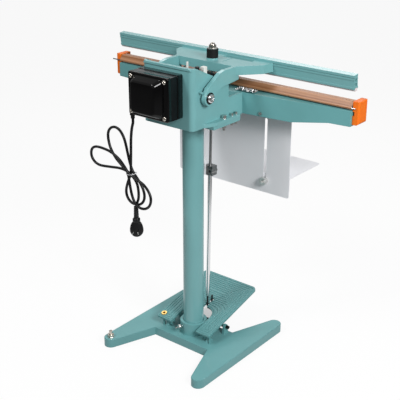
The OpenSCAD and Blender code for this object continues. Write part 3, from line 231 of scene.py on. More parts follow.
def shader(name, **values):
    """A material with a Principled shader whose plain values are set on its own sockets."""
    made = bpy.data.materials.new(name)
    made.use_nodes = True
    surface = made.node_tree.nodes["Principled BSDF"]
    for key, value in values.items():
        surface.inputs[key.replace("_", " ")].default_value = value
    return made, made.node_tree, surface


def bump_from(tree, surface, height, distance, edge=0.0):
    """Relief from a height over edges of the given rounding, both in millimetres."""
    bump = node(tree, "Bump", Strength=1.0, Distance=distance / 1000)
    tree.links.new(height, bump.inputs["Height"])
    if edge:
        rounded = node(tree, "Bevel", samples=6, Radius=edge / 1000)
        tree.links.new(rounded.outputs["Normal"], bump.inputs["Normal"])
    tree.links.new(bump.outputs["Normal"], surface.inputs["Normal"])


def roughness_from(tree, surface, mask, low, high):
    """Roughness that a mask moves between two values."""
    spread = node(tree, "MapRange", To_Min=low, To_Max=high)
    tree.links.new(mask, spread.inputs["Value"])
    tree.links.new(spread.outputs["Result"], surface.inputs["Roughness"])


def uneven_skin(tree, surface, rough, relief, edge, **values):
    """Places the skin's node group with its own values, and leads it to colour, roughness and relief."""
    uneven = tree.nodes.new("ShaderNodeGroup")
    uneven.node_tree = skin_group
    for key, value in values.items():
        uneven.inputs[key].default_value = value
    tree.links.new(uneven.outputs["Colour"], surface.inputs["Base Color"])
    roughness_from(tree, surface, uneven.outputs["Mask"], *rough)
    bump_from(tree, surface, uneven.outputs["Height"], relief, edge)


def moulded(name, colour, rough=(0.42, 0.55), relief=0.01, edge=0.4, grain=900.0, drift=0.04, **values):
    """Moulded plastic or rubber with a fine matt skin."""
    made, tree, surface = shader(name, **values)
    uneven_skin(tree, surface, rough, relief, edge, Colour=(*colour, 1), Drift=drift, Scale=30.0, Grain=grain)
    return made


cord_pvc = moulded("cord_pvc", (0.006, 0.006, 0.0065), rough=(0.30, 0.42), edge=0, Specular_IOR_Level=0.3)
cord_line = even_spacing(smooth_route(route, steps=12), count=560)
cord_mesh = skin("mains_lead", tube_rows(cord_line, CORD_R))
cord = new_piece("mains_lead", cord_mesh, "stand", cord_pvc)
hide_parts("power_cord", "cord_hank")

# ---------------------------------------------------------------- plug
# A two-pin plug in black PVC, moulded onto the end of the lead in one shot: a round grip, a plain collar and
# a ribbed strain relief, with two flat plated pins that are set at a slant.

PLUG = np.array((0.073, 0.159, 0.393))
PLUG_TURN = np.radians(35)
GRIP_R, GRIP_HALF_DEPTH = 0.019, 0.0109
GRIP_FOOT, GRIP_TOP = -0.0189, 0.0262
COLLAR_R, COLLAR_ROUND = 0.0104, 0.0006
RELIEF_FOOT, RELIEF_TOP, RIB = 0.0362, 0.0708, 0.0004
PIN_HALF_T, PIN_HALF_W = 0.0009, 0.0032
PIN_LEAN, PIN_X, PIN_Z = 30, 0.0072, 0.0015


def oval_rows(heights, half_widths, half_depths, power=2.4, sides=48):
    """Level rings at each height: the curve |x/a|^p + |y/b|^p = 1, whose a and b change with the height."""
    angle = np.linspace(0, 2 * np.pi, sides, endpoint=False)
    x = np.sign(np.cos(angle)) * np.abs(np.cos(angle)) ** (2 / power)
    y = np.sign(np.sin(angle)) * np.abs(np.sin(angle)) ** (2 / power)
    return np.stack([half_widths[:, None] * x, half_depths[:, None] * y,
                     np.broadcast_to(heights[:, None], (len(heights), sides))], axis=-1)


def turned(rows, angle):
    """Turns points about the upright axis."""
    c, s = np.cos(angle), np.sin(angle)
    return rows @ np.array([[c, s, 0], [-s, c, 0], [0, 0, 1]])


def plug_profile():
    """Height, half width and half depth: a circle that turns into full shoulders, a plain collar, and a
    relief that narrows upwards with seven cosine ribs."""
    grip = np.linspace(GRIP_FOOT, GRIP_TOP, 40)
    round_part = np.sqrt(np.clip(GRIP_R ** 2 - grip ** 2, 0, None))
    shoulder = np.interp(grip, [0.0, 0.006, 0.014, 0.020, 0.024, GRIP_TOP],
                         [GRIP_R, 0.0187, 0.0170, 0.0145, 0.0118, 0.0096])
    wide = np.where(grip < 0.002, np.maximum(round_part, 0.002), shoulder)
    deep = GRIP_HALF_DEPTH * np.clip(1 - np.abs(grip / 0.0192) ** 8, 0.04, 1) ** 0.5
    deep = np.where(grip > 0.004, np.interp(grip, [0.004, GRIP_TOP], [GRIP_HALF_DEPTH, 0.0092]), deep)
    collar = np.array([0.0266, 0.0272, 0.0345, 0.0352, 0.0358])
    collar_r = np.array([COLLAR_R - COLLAR_ROUND, COLLAR_R, COLLAR_R, COLLAR_R - COLLAR_ROUND, 0.0072])
    relief = np.linspace(RELIEF_FOOT, RELIEF_TOP, 60)
    ribs = np.cos(np.linspace(0, 14 * np.pi, 60))
    relief_r = np.interp(relief, [RELIEF_FOOT, RELIEF_TOP], [0.0069, 0.0060]) + RIB * ribs
    heights = np.concatenate([grip, collar, relief])
    return heights, np.concatenate([wide, collar_r, relief_r]), np.concatenate([deep, collar_r, relief_r])


plug_pvc = moulded("plug_pvc", (0.006, 0.006, 0.0065), rough=(0.30, 0.42), edge=0, relief=0.02,
                   Specular_IOR_Level=0.3)
plug_mesh = skin("plug_grip", turned(oval_rows(*plug_profile()), PLUG_TURN) + PLUG)
plug = new_piece("plug_grip", plug_mesh, "stand", plug_pvc)
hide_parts("power_plug")


def metal(name, colour, rough=(0.2, 0.36), marks=(40.0, 40.0, 900.0), relief=0.004, edge=0.3, dull=0.82):
    """Bare or plated metal with fine marks drawn out along one axis by their scale."""
    made, tree, surface = shader(name, Metallic=1.0)
    place = node(tree, "TexCoord")
    stretch = node(tree, "Mapping", Scale=marks)
    tree.links.new(place.outputs["Object"], stretch.inputs["Vector"])
    lines = node(tree, "TexNoise", Scale=1.0, Detail=3.0, Roughness=0.6)
    tree.links.new(stretch.outputs["Vector"], lines.inputs["Vector"])
    tint = node(tree, "Mix", data_type="RGBA", i6=(*(c * dull for c in colour), 1), i7=(*colour, 1))
    tree.links.new(lines.outputs["Fac"], tint.inputs[0])
    tree.links.new(tint.outputs[2], surface.inputs["Base Color"])
    roughness_from(tree, surface, lines.outputs["Fac"], *rough)
    bump_from(tree, surface, lines.outputs["Fac"], relief, edge)
    return made


def flat_pin(lean, x):
    """Bar along Y whose section |u/a|^5 + |v/b|^5 = 1 is leant over by an angle and shrinks near its tip."""
    reach = np.array([0.0106, 0.0270, 0.0285, 0.0290])
    shrink = np.array([1.0, 1.0, 0.7, 0.2])
    angle = np.linspace(0, 2 * np.pi, 24, endpoint=False)
    flat = np.stack([PIN_HALF_T * np.sign(np.cos(angle)) * np.abs(np.cos(angle)) ** 0.4,
                     PIN_HALF_W * np.sign(np.sin(angle)) * np.abs(np.sin(angle)) ** 0.4], axis=-1)
    c, s = np.cos(np.radians(lean)), np.sin(np.radians(lean))
    across = flat[:, :1] * (c, -s) + flat[:, 1:] * (s, c)
    along = np.broadcast_to(reach[:, None], (len(reach), len(angle)))
    return np.stack([x + shrink[:, None] * across[:, 0], along, PIN_Z + shrink[:, None] * across[:, 1]],
                    axis=-1)


zinc = metal("zinc_plate", (0.66, 0.66, 0.64), marks=(300.0, 300.0, 300.0), rough=(0.18, 0.34))
for lean, x in ((PIN_LEAN, -PIN_X), (-PIN_LEAN, PIN_X)):
    pin_mesh = skin("plug_pin", turned(flat_pin(lean, x), PLUG_TURN) + PLUG)
    pin = new_piece(f"plug_pin_{lean + PIN_LEAN}", pin_mesh, "stand", zinc)
    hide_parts("power_plug")

# ---------------------------------------------------------------- gland and tie
# A short black gland in the underside of the transformer's cover, through which the lead leaves, and a twist
# of clear plastic strip that holds the folded strands together.

TIE = np.array((0.0865, 0.159, 0.5575))
TIE_HALF_W, TIE_HALF_D, STRIP_R = 0.0155, 0.0119, 0.0009


def dress(material, *names):
    """Gives CAD nodes their material."""
    for name in names:
        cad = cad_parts[name]
        cad.data.materials.clear()
        cad.data.materials.append(material)


black_plastic = moulded("black_plastic", (0.009, 0.009, 0.009), Specular_IOR_Level=0.3)
dress(black_plastic, "cord_gland")

# Oval round the strands, whose sides rise and fall by a few millimetres
clear_strip = moulded("clear_strip", (0.85, 0.86, 0.88), rough=(0.12, 0.2), edge=0, Transmission_Weight=0.35)
ring = np.linspace(0, 2 * np.pi, 61)
band = np.stack([TIE[0] + TIE_HALF_W * np.cos(ring), TIE[1] + TIE_HALF_D * np.sin(ring),
                 TIE[2] - 0.004 * np.cos(ring) + 0.001 * np.sin(2 * ring)], axis=-1)
new_piece("cord_tie", skin("cord_tie", tube_rows(band, STRIP_R, sides=10)), "stand", clear_strip)

# ---------------------------------------------------------------- base and column
# The base is a sand casting and the column a drawn tube; both are degreased and sprayed with teal enamel,
# which flows a little over their edges and lies with a faint orange-peel.


def painted(name, colour, rough=(0.28, 0.40), relief=0.03, edge=1.2, drift=0.05, coat=0.3, grain=260.0,
            **values):
    """Enamel over metal: a drifting shade, soft edges, a slightly uneven coat and a clear gloss."""
    made, tree, surface = shader(name, Coat_Weight=coat, Coat_Roughness=0.14, **values)
    uneven_skin(tree, surface, rough, relief, edge, Colour=(*colour, 1), Drift=drift, Scale=9.0, Grain=grain)
    return made


# The base's teal is painted in a darker tone than the same enamel on the head and column: painted shade.
shaded_base_enamel = painted("shaded_base_enamel", (0.150, 0.385, 0.395), rough=(0.36, 0.46), relief=0.05, drift=0.06,
                      coat=0.1)
# The head, frame and column head plate take a lighter tone of the same teal: painted light.
lit_cast_enamel = painted("lit_cast_enamel", (0.190, 0.445, 0.455), relief=0.05, drift=0.06)
tube_enamel = painted("tube_enamel", (0.185, 0.435, 0.445), relief=0.015, edge=0, drift=0.03)
dress(shaded_base_enamel, "base_casting")
dress(lit_cast_enamel, "column_head_plate")
dress(tube_enamel, "column_tube")
dress(zinc, "collar_wing_bolt")
nickel = metal("nickel_plate", (0.62, 0.58, 0.52), marks=(260.0, 260.0, 260.0), rough=(0.16, 0.3))
dress(nickel, "levelling_bolt")
black_rubber = moulded("black_rubber", (0.009, 0.009, 0.009), rough=(0.5, 0.7), relief=0.03,
                       Specular_IOR_Level=0.2)
dress(black_rubber, "foot_pads")

# ---------------------------------------------------------------- pedal
# A second casting with a ribbed tread, enamelled like the base, which swings on two pins between the ears of
# the base. It rests on two posts that are enamelled with it, a black stop bar crosses under it, and a brass
# insert is pressed into its left lobe.

# The pedal's teal is painted darker still than the base's: painted shade on its tread.
shaded_tread_enamel = painted("shaded_tread_enamel", (0.135, 0.345, 0.352), rough=(0.45, 0.55), relief=0.05, drift=0.06,
                       coat=0.05)
dress(shaded_tread_enamel, "pedal_plate", "pedal_rest_pads")
dress(zinc, "pedal_pins")
dress(black_rubber, "pedal_stop_bar")
brass = metal("brass", (0.78, 0.52, 0.17), rough=(0.2, 0.32), marks=(300.0, 300.0, 300.0))
dress(brass, "pedal_insert")

# ---------------------------------------------------------------- pull rod
# A hook of black wire holds the pedal's bridge. Above it a chromed rod, a clamp block and a thin steel rod
# run up through the head to a rubber sleeve, a washer and a domed nut that press on the frame. A coil spring
# of zinc-plated wire stands round the thin rod; it shortens as the frame closes, but here it keeps one
# length.

COIL_WIRE, COIL_R, COIL_TURNS = 0.0013, 0.0110, 9
POINTS_A_TURN = 28

rod_chrome = metal("rod_chrome", (0.90, 0.91, 0.92), rough=(0.14, 0.22), marks=(500.0, 500.0, 6.0), edge=0)
rod_steel = metal("rod_steel", (0.42, 0.42, 0.42), rough=(0.22, 0.36), marks=(400.0, 400.0, 8.0), edge=0)
dark_steel = metal("dark_steel", (0.10, 0.10, 0.10), rough=(0.3, 0.5))
dress(rod_chrome, "lower_rod")
dress(rod_steel, "upper_rod")
dress(dark_steel, "rod_hook", "clamp_screw")
clamp_steel = metal("clamp_steel", (0.36, 0.37, 0.37), rough=(0.2, 0.4), marks=(200.0, 200.0, 200.0),
                    dull=0.5)
dress(clamp_steel, "rod_clamp")
dress(zinc, "sleeve_washer")
dress(nickel, "rod_nuts")
dress(black_rubber, "rubber_sleeve")

# Helix that leans back with the rod: a circle whose centre and height move evenly with the turns
coil_low, coil_high = (np.array(corner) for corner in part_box("return_spring"))
climb = np.linspace(0, 1, COIL_TURNS * POINTS_A_TURN + 1)
winding = 2 * np.pi * COIL_TURNS * climb
foot_y = coil_high[1] - COIL_R - COIL_WIRE
lean_y = coil_low[1] + COIL_R + COIL_WIRE - foot_y
rise_z = coil_high[2] - coil_low[2] - 2 * COIL_WIRE
coil = np.stack([COIL_R * np.cos(winding), foot_y + lean_y * climb + COIL_R * np.sin(winding),
                 coil_low[2] + COIL_WIRE + rise_z * climb], axis=-1)
coil_mesh = skin("spring_coil", tube_rows(coil, COIL_WIRE, sides=10))
spring = new_piece("spring_coil", coil_mesh, "stand", zinc)
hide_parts("return_spring")
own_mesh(spring)

white_nylon = moulded("white_nylon", (0.80, 0.80, 0.76))
dress(white_nylon, "rod_bush")

# ---------------------------------------------------------------- head and jaw beam
# The head is an open box casting bolted down through its side flanges, and the jaw beam is a second casting
# bolted to its front; both are enamelled.

# The jaw beam's teal is painted darker than the head's: painted shade.
shaded_beam_enamel = painted("shaded_beam_enamel", (0.148, 0.395, 0.405), relief=0.04, drift=0.05)
dress(lit_cast_enamel, "head_casting")
dress(shaded_beam_enamel, "jaw_beam")
dress(zinc, "head_bolts", "beam_bolts")

# ---------------------------------------------------------------- lower jaw
# An aluminium bar carries glass cloth, the heating ribbon and a brown PTFE-coated glass tape, which is
# folded round a steel rod at the rear; a creased steel plate holds the tape beside the head.

jaw_metal = metal("jaw_metal", (0.72, 0.73, 0.74), marks=(8.0, 900.0, 900.0))
dress(jaw_metal, "lower_jaw_bar")
ribbon = metal("heater_ribbon", (0.5, 0.47, 0.43), marks=(8.0, 900.0, 900.0), edge=0)
dress(ribbon, "heating_element")
glass_cloth = moulded("glass_cloth", (0.70, 0.62, 0.42), rough=(0.6, 0.8), edge=0)
dress(glass_cloth, "insulation_strip")
dress(brass, "element_terminals")


def coated_cloth(name, colour, pale):
    """PTFE-coated glass cloth: lengthwise creases and streaks over a fine woven relief, with a soft sheen."""
    made, tree, surface = shader(name, Specular_IOR_Level=0.5, Coat_Weight=0.2, Coat_Roughness=0.2)
    place = node(tree, "TexCoord")
    stretch = node(tree, "Mapping", Scale=(1.6, 260.0, 260.0))
    tree.links.new(place.outputs["Object"], stretch.inputs["Vector"])
    streaks = node(tree, "TexNoise", Scale=1.0, Detail=4.0, Roughness=0.6)
    tree.links.new(stretch.outputs["Vector"], streaks.inputs["Vector"])
    tint = node(tree, "Mix", data_type="RGBA", i6=(*colour, 1), i7=(*pale, 1))
    sharpen = node(tree, "MapRange", From_Min=0.35, From_Max=0.68)
    tree.links.new(streaks.outputs["Fac"], sharpen.inputs["Value"])
    tree.links.new(sharpen.outputs["Result"], tint.inputs[0])
    tree.links.new(tint.outputs[2], surface.inputs["Base Color"])
    roughness_from(tree, surface, streaks.outputs["Fac"], 0.25, 0.45)
    weave = node(tree, "TexWave", wave_type="BANDS", bands_direction="X", Scale=420.0, Distortion=0.4)
    tree.links.new(place.outputs["Object"], weave.inputs["Vector"])
    both = node(tree, "Math", operation="MULTIPLY_ADD", i1=0.15)
    tree.links.new(weave.outputs["Fac"], both.inputs[0])
    tree.links.new(streaks.outputs["Fac"], both.inputs[2])
    bump_from(tree, surface, both.outputs[0], 0.12)
    return made


tape_cloth = coated_cloth("tape_cloth", (0.27, 0.10, 0.035), (0.60, 0.31, 0.165))
dress(tape_cloth, "ptfe_tape")

# Creased plate that is screwed down over the tape
PLATE_X = (-0.120, -0.058)
PLATE_Y = (-0.136, -0.112)
PLATE_Z = 0.758
PLATE_T = 0.0008


def creased_plate(u, v):
    """Height over the seat: sine folds of three lengths, of which the first fades out at the front and rear
    edges, a slope that falls 3 mm towards the rear, and a lip that curls up by 2.2 mm over the last fifth."""
    folds = 0.0009 * np.sin(11 * u + 5 * v) * np.sin(np.pi * v) + 0.0008 * np.sin(19 * u - 8 * v + 1)
    folds += 0.0006 * np.sin(43 * u + 15 * v) + 0.003 * (1 - v)
    lip = 0.0022 * np.clip(v - 0.78, 0, None) / 0.22
    return folds + lip + 0.0012


chrome = metal("bright_chrome", (0.86, 0.87, 0.88), rough=(0.05, 0.12), marks=(200.0, 200.0, 200.0))
u, v = np.meshgrid(np.linspace(0, 1, 60), np.linspace(0, 1, 24), indexing="ij")
top = np.stack([PLATE_X[0] + (PLATE_X[1] - PLATE_X[0]) * u, PLATE_Y[0] + (PLATE_Y[1] - PLATE_Y[0]) * v,
                PLATE_Z + creased_plate(u, v)], axis=-1)
plate = new_piece("tape_plate", skin("tape_plate", top, closed=False), "stand", chrome)
thick = plate.modifiers.new("sheet", "SOLIDIFY")
thick.thickness = PLATE_T
thick.offset = -1
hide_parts("tape_clamp")

# Steel rod in the rear fold of the tape, with a small bevel at each end
TAPE_ROD_Y, TAPE_ROD_Z, TAPE_ROD_R, TAPE_ROD_TIP_R = -0.1435, 0.764, 0.0025, 0.0016
clamp_low, clamp_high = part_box("tape_clamp")
rod_line = np.stack([np.linspace(clamp_low[0], clamp_high[0], 12), np.full(12, TAPE_ROD_Y),
                     np.full(12, TAPE_ROD_Z)], axis=-1)
rod_radius = np.full(12, TAPE_ROD_R)
rod_radius[[0, -1]] = TAPE_ROD_TIP_R
rod_mesh = skin("tape_rod", tube_rows(rod_line, rod_radius))
tape_rod = new_piece("tape_rod", rod_mesh, "stand", rod_steel)
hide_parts("tape_clamp")


def pan_head(centre, outward, radius, height, slot_depth=0.45):
    """Low dome with a cross recess: a square grid is pressed into a disc, raised by (1 - s^3)^0.5, and cut
    by two bars whose sides are smooth steps."""
    side = np.linspace(-1, 1, 41)
    u, v = np.meshgrid(side, side, indexing="ij")
    x, y = u * np.sqrt(1 - v ** 2 / 2), v * np.sqrt(1 - u ** 2 / 2)
    s = np.clip(np.hypot(x, y), 0, 1)
    rise = 0.35 + 0.65 * np.sqrt(np.clip(1 - s ** 3, 0, 1))

    def step(value, edge):
        """1 inside the edge and 0 outside it, with a short smooth rise between."""
        return 1 / (1 + np.exp((np.abs(value) - edge) / 0.02))

    cross = np.maximum(step(x, 0.10) * step(y, 0.52), step(y, 0.10) * step(x, 0.52))
    z = height * (rise - slot_depth * cross)
    z[s > 0.999] = 0.0
    outward = np.array(outward, float)
    first = np.cross(outward, (0.3, 0.2, 1.0))
    first /= np.linalg.norm(first)
    second = np.cross(outward, first)
    return np.array(centre) + radius * (x[..., None] * first + y[..., None] * second) + z[..., None] * outward


def screw_head(name, centre, outward, radius, height, body, material, stands_for):
    """A pan head as a piece of its own, closed underneath by the face that it sits on."""
    mesh = skin(name, pan_head(centre, outward, radius, height), closed=False)
    middle = mesh.polygons[len(mesh.polygons) // 2]
    if np.dot(middle.normal, outward) < 0:
        mesh.flip_normals()
    head = new_piece(name, mesh, body, material)
    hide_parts(stands_for)


TAPE_SCREW_R, TAPE_SCREW_H = 0.0072, 0.0055
for i, x in enumerate((-0.106, -0.074)):
    seat = (x, sum(PLATE_Y) / 2, PLATE_Z + 0.0026)
    screw_head(f"tape_screw_{i}", seat, (0, 0, 1), TAPE_SCREW_R, TAPE_SCREW_H, "stand", chrome,
               "tape_clamp")

# ---------------------------------------------------------------- end caps
# Bright orange caps, injection moulded with rounded outer edges, which push onto the ends of the lower jaw
# and cover the live clamp blocks.

orange = moulded("orange_plastic", (1.0, 0.20, 0.014), rough=(0.30, 0.42), edge=1.2, relief=0.01, drift=0.02,
                 Specular_IOR_Level=0.35, Subsurface_Weight=0.15, Subsurface_Scale=0.004)
dress(orange, "end_cap_left", "end_cap_right")

# ---------------------------------------------------------------- press frame and upper jaw
# A cast frame with two arms carries the extruded upper jaw; all of it is enamelled. A white silicone strip is
# pressed into the jaw's lower groove. Each arm turns on a bolt with a flanged cross-slot head over a black
# washer, which is held by a hexagon nut against the inner face of the head's wall.

PIVOT_Y, PIVOT_Z = 0.059, 0.781
PIVOT_R, PIVOT_HEAD_R, PIVOT_HEAD_H = 0.006, 0.0115, 0.0048
HEAD_OUT, FLANGE_T, PIVOT_END = 0.007, 0.0022, 0.066
NUT_R, NUT_INNER, NUT_OUTER = 0.0109, 0.0678, 0.0778

jaw_enamel = painted("jaw_enamel", (0.185, 0.440, 0.450), relief=0.012, edge=0.7, drift=0.03, coat=0.6)
# The press frame takes the lighter tone of the teal: painted light.
dress(lit_cast_enamel, "press_frame")
dress(jaw_enamel, "upper_jaw_bar")
dress(zinc, "bar_screws")
silicone = moulded("silicone", (0.78, 0.73, 0.74), rough=(0.35, 0.5), edge=0.6)
dress(silicone, "silicone_strip")
washer_black = moulded("washer_black", (0.010, 0.010, 0.011), rough=(0.2, 0.3), edge=0.6)
dress(washer_black, "pivot_washers")

# Shaft, nut and flange are short bars along X: where each starts and stops, its radius and its sides
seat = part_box("pivot_bolts")[1][0] - HEAD_OUT
bars = {"shaft": (PIVOT_END, seat, PIVOT_R, 24), "nut": (NUT_INNER, NUT_OUTER, NUT_R, 6),
        "flange": (seat, seat + FLANGE_T, PIVOT_HEAD_R, 40)}
for i, side in enumerate((-1, 1)):
    for part, (start, stop, radius, sides) in bars.items():
        line = np.array([[side * x, PIVOT_Y, PIVOT_Z] for x in (start, (start + stop) / 2, stop)])
        bar_mesh = skin("pivot", tube_rows(line, radius, sides=sides))
        bar = new_piece(f"pivot_{part}_{i}", bar_mesh, "stand", zinc)
        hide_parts("pivot_bolts")
    screw_head(f"pivot_head_{i}", (side * (seat + FLANGE_T - 0.0001), PIVOT_Y, PIVOT_Z), (side, 0, 0),
               PIVOT_HEAD_R, PIVOT_HEAD_H, "stand", chrome, "pivot_bolts")

# ---------------------------------------------------------------- transformer
# Laminations varnished black, clamped between an open frame on the head and a deep-drawn cover at the
# rear; cover and frame are pressed steel stoved in glossy black, held by four long cross-head screws.

gloss_black = painted("gloss_black", (0.0012, 0.0012, 0.0014), rough=(0.06, 0.10), relief=0.012, edge=0,
                      drift=0.0, coat=0.0, grain=120.0, Specular_IOR_Level=0.3)
varnished_core = metal("varnished_core", (0.045, 0.045, 0.048), marks=(20.0, 2500.0, 20.0),
                       rough=(0.22, 0.45), relief=0.05)
dress(varnished_core, "transformer_core")

# Depths of the frame and of the cover's rim, and the folds and insets of the cover, in metres
case_low, case_high = (np.array(corner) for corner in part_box("transformer_cover"))
case_mid = (case_low + case_high) / 2
HALF_X, HALF_Z = (case_high - case_low)[[0, 2]] / 2
FRAME_FRONT, FRAME_REAR, FRAME_FOLD, FRAME_CORNER = 0.106, 0.127, 0.002, 0.004
RIM_FRONT, RIM_REAR, RIM_FOLD = 0.151, 0.165, 0.0035
FOOT_FOLD, TOP_FOLD = 0.003, 0.007
FOOT_X, FOOT_Z, TOP_X, TOP_Z = 0.0170, 0.0055, 0.0320, 0.0210
DOME_REAR = case_high[1]


def rounded_rings(half_x, half_z, corner, depth, around=12):
    """Rings square to Y: a rectangle of each half size with its corners drawn as quarter circles."""
    quarter = np.linspace(0, np.pi / 2, around)
    angle = np.concatenate([quarter + k * np.pi / 2 for k in range(4)])
    sign_x = np.repeat([1, -1, -1, 1], around)
    sign_z = np.repeat([1, 1, -1, -1], around)
    x = (half_x - corner)[:, None] * sign_x + corner[:, None] * np.cos(angle)
    z = (half_z - corner)[:, None] * sign_z + corner[:, None] * np.sin(angle)
    return np.stack([case_mid[0] + x, np.broadcast_to(depth[:, None], x.shape), case_mid[2] + z], axis=-1)


def fold(radius, start, stop, steps=7):
    """Offsets across and along for a fold of the given radius between two directions, in degrees."""
    angle = np.radians(np.linspace(start, stop, steps))
    return radius * np.cos(angle), radius * np.sin(angle)


def cover_profile():
    """Insets across and up from the rim's edge, and depth: up the side, over a soft rim, in along the
    flange, up the sloping side of the dome and over its shoulder to a nearly flat top. The dome stands
    nearer the flange's edge above and below than at its sides, where the screws are."""
    edge_c, edge_s = fold(RIM_FOLD, 180, 90)
    foot_c, foot_s = fold(FOOT_FOLD, -90, -25)
    top_c, top_s = fold(TOP_FOLD, 155, 90)
    rim = RIM_FOLD + edge_c
    across = np.concatenate([[0.0], rim, FOOT_X + foot_c, TOP_X + top_c, [0.045, 0.052]])
    up = np.concatenate([[0.0], rim, FOOT_Z + foot_c, TOP_Z + top_c, [0.036, 0.045]])
    depth = np.concatenate([[RIM_FRONT], RIM_REAR - RIM_FOLD + edge_s, RIM_REAR + FOOT_FOLD + foot_s,
                            DOME_REAR - TOP_FOLD - 0.0004 + top_s, [DOME_REAR - 0.0001] * 2])
    return across, up, depth


across, up, depth = cover_profile()
corner = np.interp(across, [0, RIM_FOLD, FOOT_X, TOP_X, 0.052], [0.005, 0.005, 0.012, 0.010, 0.003])
cover_mesh = skin("cover_pressing", rounded_rings(HALF_X - across, HALF_Z - up, corner, depth))
cover = new_piece("cover_pressing", cover_mesh, "stand", gloss_black)
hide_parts("transformer_cover")

# The frame: a short rounded box with a fold round its rear edge
edge_c, edge_s = fold(FRAME_FOLD, 180, 90)
inset = np.concatenate([[0.004, 0.0, 0.0], FRAME_FOLD + edge_c, [0.006]])
depth = np.concatenate([[FRAME_FRONT, FRAME_FRONT, FRAME_REAR - FRAME_FOLD], FRAME_REAR - FRAME_FOLD + edge_s,
                        [FRAME_REAR]])
corner = np.full(len(inset), FRAME_CORNER)
rim_mesh = skin("frame_pressing", rounded_rings(HALF_X - inset, HALF_Z - inset, corner, depth))
rim = new_piece("frame_pressing", rim_mesh, "stand", gloss_black)
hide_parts("transformer_cover")

# A pan head in each corner of the flange
SCREW_IN, SCREW_R, SCREW_H = 0.011, 0.0058, 0.0042
for i, (sx, sz) in enumerate(((-1, -1), (-1, 1), (1, -1), (1, 1))):
    place = case_mid + (sx * (HALF_X - SCREW_IN), 0, sz * (HALF_Z - SCREW_IN))
    screw_head(f"case_screw_{i}", (place[0], RIM_REAR + 0.0002, place[2]), (0, 1, 0), SCREW_R, SCREW_H,
               "stand", nickel, "transformer_screws")

# ---------------------------------------------------------------- wiring inside the head
# A terminal strip and a capacitor on the side wall, push-on connectors, red-brown wires, and a microswitch
# whose lever the press frame moves.

dress(black_plastic, "terminal_strip", "microswitch")
dress(white_nylon, "wire_connector")
wire_pvc = moulded("wire_pvc", (0.30, 0.05, 0.03), edge=0)
dress(wire_pvc, "head_wires")
dress(zinc, "microswitch_lever")

# ---------------------------------------------------------------- control panel
# A brushed aluminium panel across the front of the head, with a ribbed timer knob, a red rocker and a lamp.

brushed = metal("brushed_aluminium", (0.70, 0.71, 0.72), marks=(8.0, 900.0, 900.0))
dress(brushed, "control_panel")
dress(black_plastic, "timer_knob", "timer_unit")
red = moulded("red_plastic", (0.55, 0.02, 0.015), rough=(0.15, 0.25))
dress(red, "power_rocker")
amber = moulded("amber_plastic", (0.85, 0.16, 0.02), rough=(0.1, 0.2), Transmission_Weight=0.3)
dress(amber, "indicator_lamp")

# ---------------------------------------------------------------- back plate and shelf
# Steel sheet stoved in a cool white. Bolts hold the plate to the beam, and two nuts in cast zinc, left rough,
# clamp the shelf at any height along its two slots.

sheet_white = painted("sheet_white", (0.96, 0.965, 1.0), rough=(0.3, 0.42), relief=0.01, edge=0, drift=0.02)
rough_zinc = metal("rough_zinc", (0.86, 0.86, 0.84), rough=(0.25, 0.4), marks=(220.0, 220.0, 220.0),
                   relief=0.6)
dress(sheet_white, "back_plate", "shelf_plate")
dress(zinc, "plate_bolts")
dress(rough_zinc, "shelf_clamps")

# ---------------------------------------------------------------- floor and light
# A white studio floor that shows a faint shadow, under a soft key lamp to the right of the lens, a weaker
# fill above it and a long lamp on the operator's side.

STAGE_WHITE = 0.90
# Centre of a soft round painted shadow on the floor under the pedal's slot, and the camera's share of white
# in it
PAINTED_SHADOW_AT, PAINTED_SHADOW_WHITE = (0.050, -0.142, 0.0), 0.35


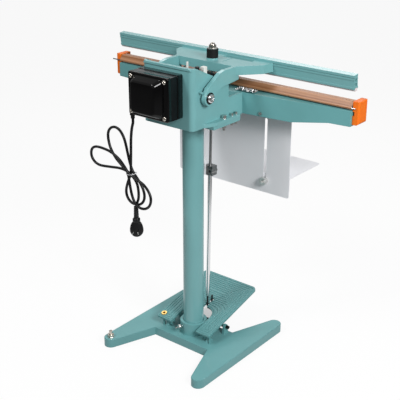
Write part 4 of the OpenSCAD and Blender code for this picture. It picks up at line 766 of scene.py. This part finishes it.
def stage_paint(name):
    """Matt white. The camera sees it lifted most of the way to full white, except in a soft round patch of
    painted shadow under the pedal's slot; reflections see a white sweep that ends a metre from the machine."""
    made = bpy.data.materials.new(name)
    made.use_nodes = True
    tree = made.node_tree
    matt = tree.nodes["Principled BSDF"]
    matt.inputs["Roughness"].default_value = 0.9
    matt.inputs["Specular IOR Level"].default_value = 0.0
    glow = node(tree, "Emission", Color=(1, 1, 1, 1), Strength=1.0)
    ray = node(tree, "LightPath")
    tone = node(tree, "MapRange", To_Min=0.24, To_Max=0.95)
    tree.links.new(ray.outputs["Is Camera Ray"], tone.inputs["Value"])
    tree.links.new(tone.outputs["Result"], matt.inputs["Base Color"])
    # Painted shadow: near the patch's centre the camera sees less of the white.
    place = node(tree, "TexCoord")
    away = node(tree, "VectorMath", operation="DISTANCE", i1=PAINTED_SHADOW_AT)
    tree.links.new(place.outputs["Object"], away.inputs[0])
    clear = node(tree, "MapRange", interpolation_type="SMOOTHSTEP", From_Min=0.02, From_Max=0.085,
                 To_Min=PAINTED_SHADOW_WHITE, To_Max=STAGE_WHITE)
    tree.links.new(away.outputs["Value"], clear.inputs["Value"])
    seen = node(tree, "Math", operation="MULTIPLY")
    tree.links.new(ray.outputs["Is Camera Ray"], seen.inputs[0])
    tree.links.new(clear.outputs["Result"], seen.inputs[1])
    radius = node(tree, "VectorMath", operation="LENGTH")
    tree.links.new(place.outputs["Object"], radius.inputs[0])
    near = node(tree, "MapRange", From_Min=0.95, From_Max=1.2, To_Min=0.85, To_Max=0.0)
    tree.links.new(radius.outputs["Value"], near.inputs["Value"])
    share = node(tree, "Math", operation="MULTIPLY_ADD")
    tree.links.new(ray.outputs["Is Glossy Ray"], share.inputs[0])
    tree.links.new(near.outputs["Result"], share.inputs[1])
    tree.links.new(seen.outputs[0], share.inputs[2])
    blend = tree.nodes.new("ShaderNodeMixShader")
    tree.links.new(share.outputs[0], blend.inputs[0])
    tree.links.new(matt.outputs[0], blend.inputs[1])
    tree.links.new(glow.outputs[0], blend.inputs[2])
    tree.links.new(blend.outputs[0], tree.nodes["Material Output"].inputs["Surface"])
    return made


floor_mesh = bpy.data.meshes.new("floor")
floor_mesh.from_pydata([(-30, -30, 0), (30, -30, 0), (30, 30, 0), (-30, 30, 0)], [], [(0, 1, 2, 3)])
floor = bpy.data.objects.new("floor", floor_mesh)
bpy.context.collection.objects.link(floor)
floor_mesh.materials.append(stage_paint("floor_paint"))

# Even light from all round, which the camera sees as plain white
world = bpy.data.worlds.new("studio")
bpy.context.scene.world = world
world.use_nodes = True
sky = world.node_tree
light = sky.nodes["Background"]
light.inputs["Color"].default_value = (1, 1, 1, 1)
light.inputs["Strength"].default_value = 0.37
seen = node(sky, "Background", Color=(1, 1, 1, 1), Strength=1.0)
ray = node(sky, "LightPath")
mix = sky.nodes.new("ShaderNodeMixShader")
sky.links.new(ray.outputs["Is Camera Ray"], mix.inputs[0])
sky.links.new(light.outputs[0], mix.inputs[1])
sky.links.new(seen.outputs[0], mix.inputs[2])
sky.links.new(mix.outputs[0], sky.nodes["World Output"].inputs["Surface"])


def area_lamp(name, place, aim, size, power):
    """Rectangular lamp that faces a point."""
    data = bpy.data.lights.new(name, "AREA")
    data.shape = "RECTANGLE"
    data.size, data.size_y = size
    data.energy = power
    lamp = bpy.data.objects.new(name, data)
    bpy.context.collection.objects.link(lamp)
    lamp.location = place
    lamp.rotation_euler = (Vector(aim) - Vector(place)).to_track_quat("-Z", "Y").to_euler()


area_lamp("key", (-2.2, 0.8, 1.9), (0, 0, 0.6), (0.8, 0.8), 50)
area_lamp("fill", (0.7, 1.7, 2.6), (0, 0, 0.6), (0.6, 0.6), 24)
area_lamp("back", (1.2, -1.45, 2.0), (0, 0, 0.8), (2.2, 0.6), 12.5)

bpy.context.scene.view_settings.view_transform = "Standard"
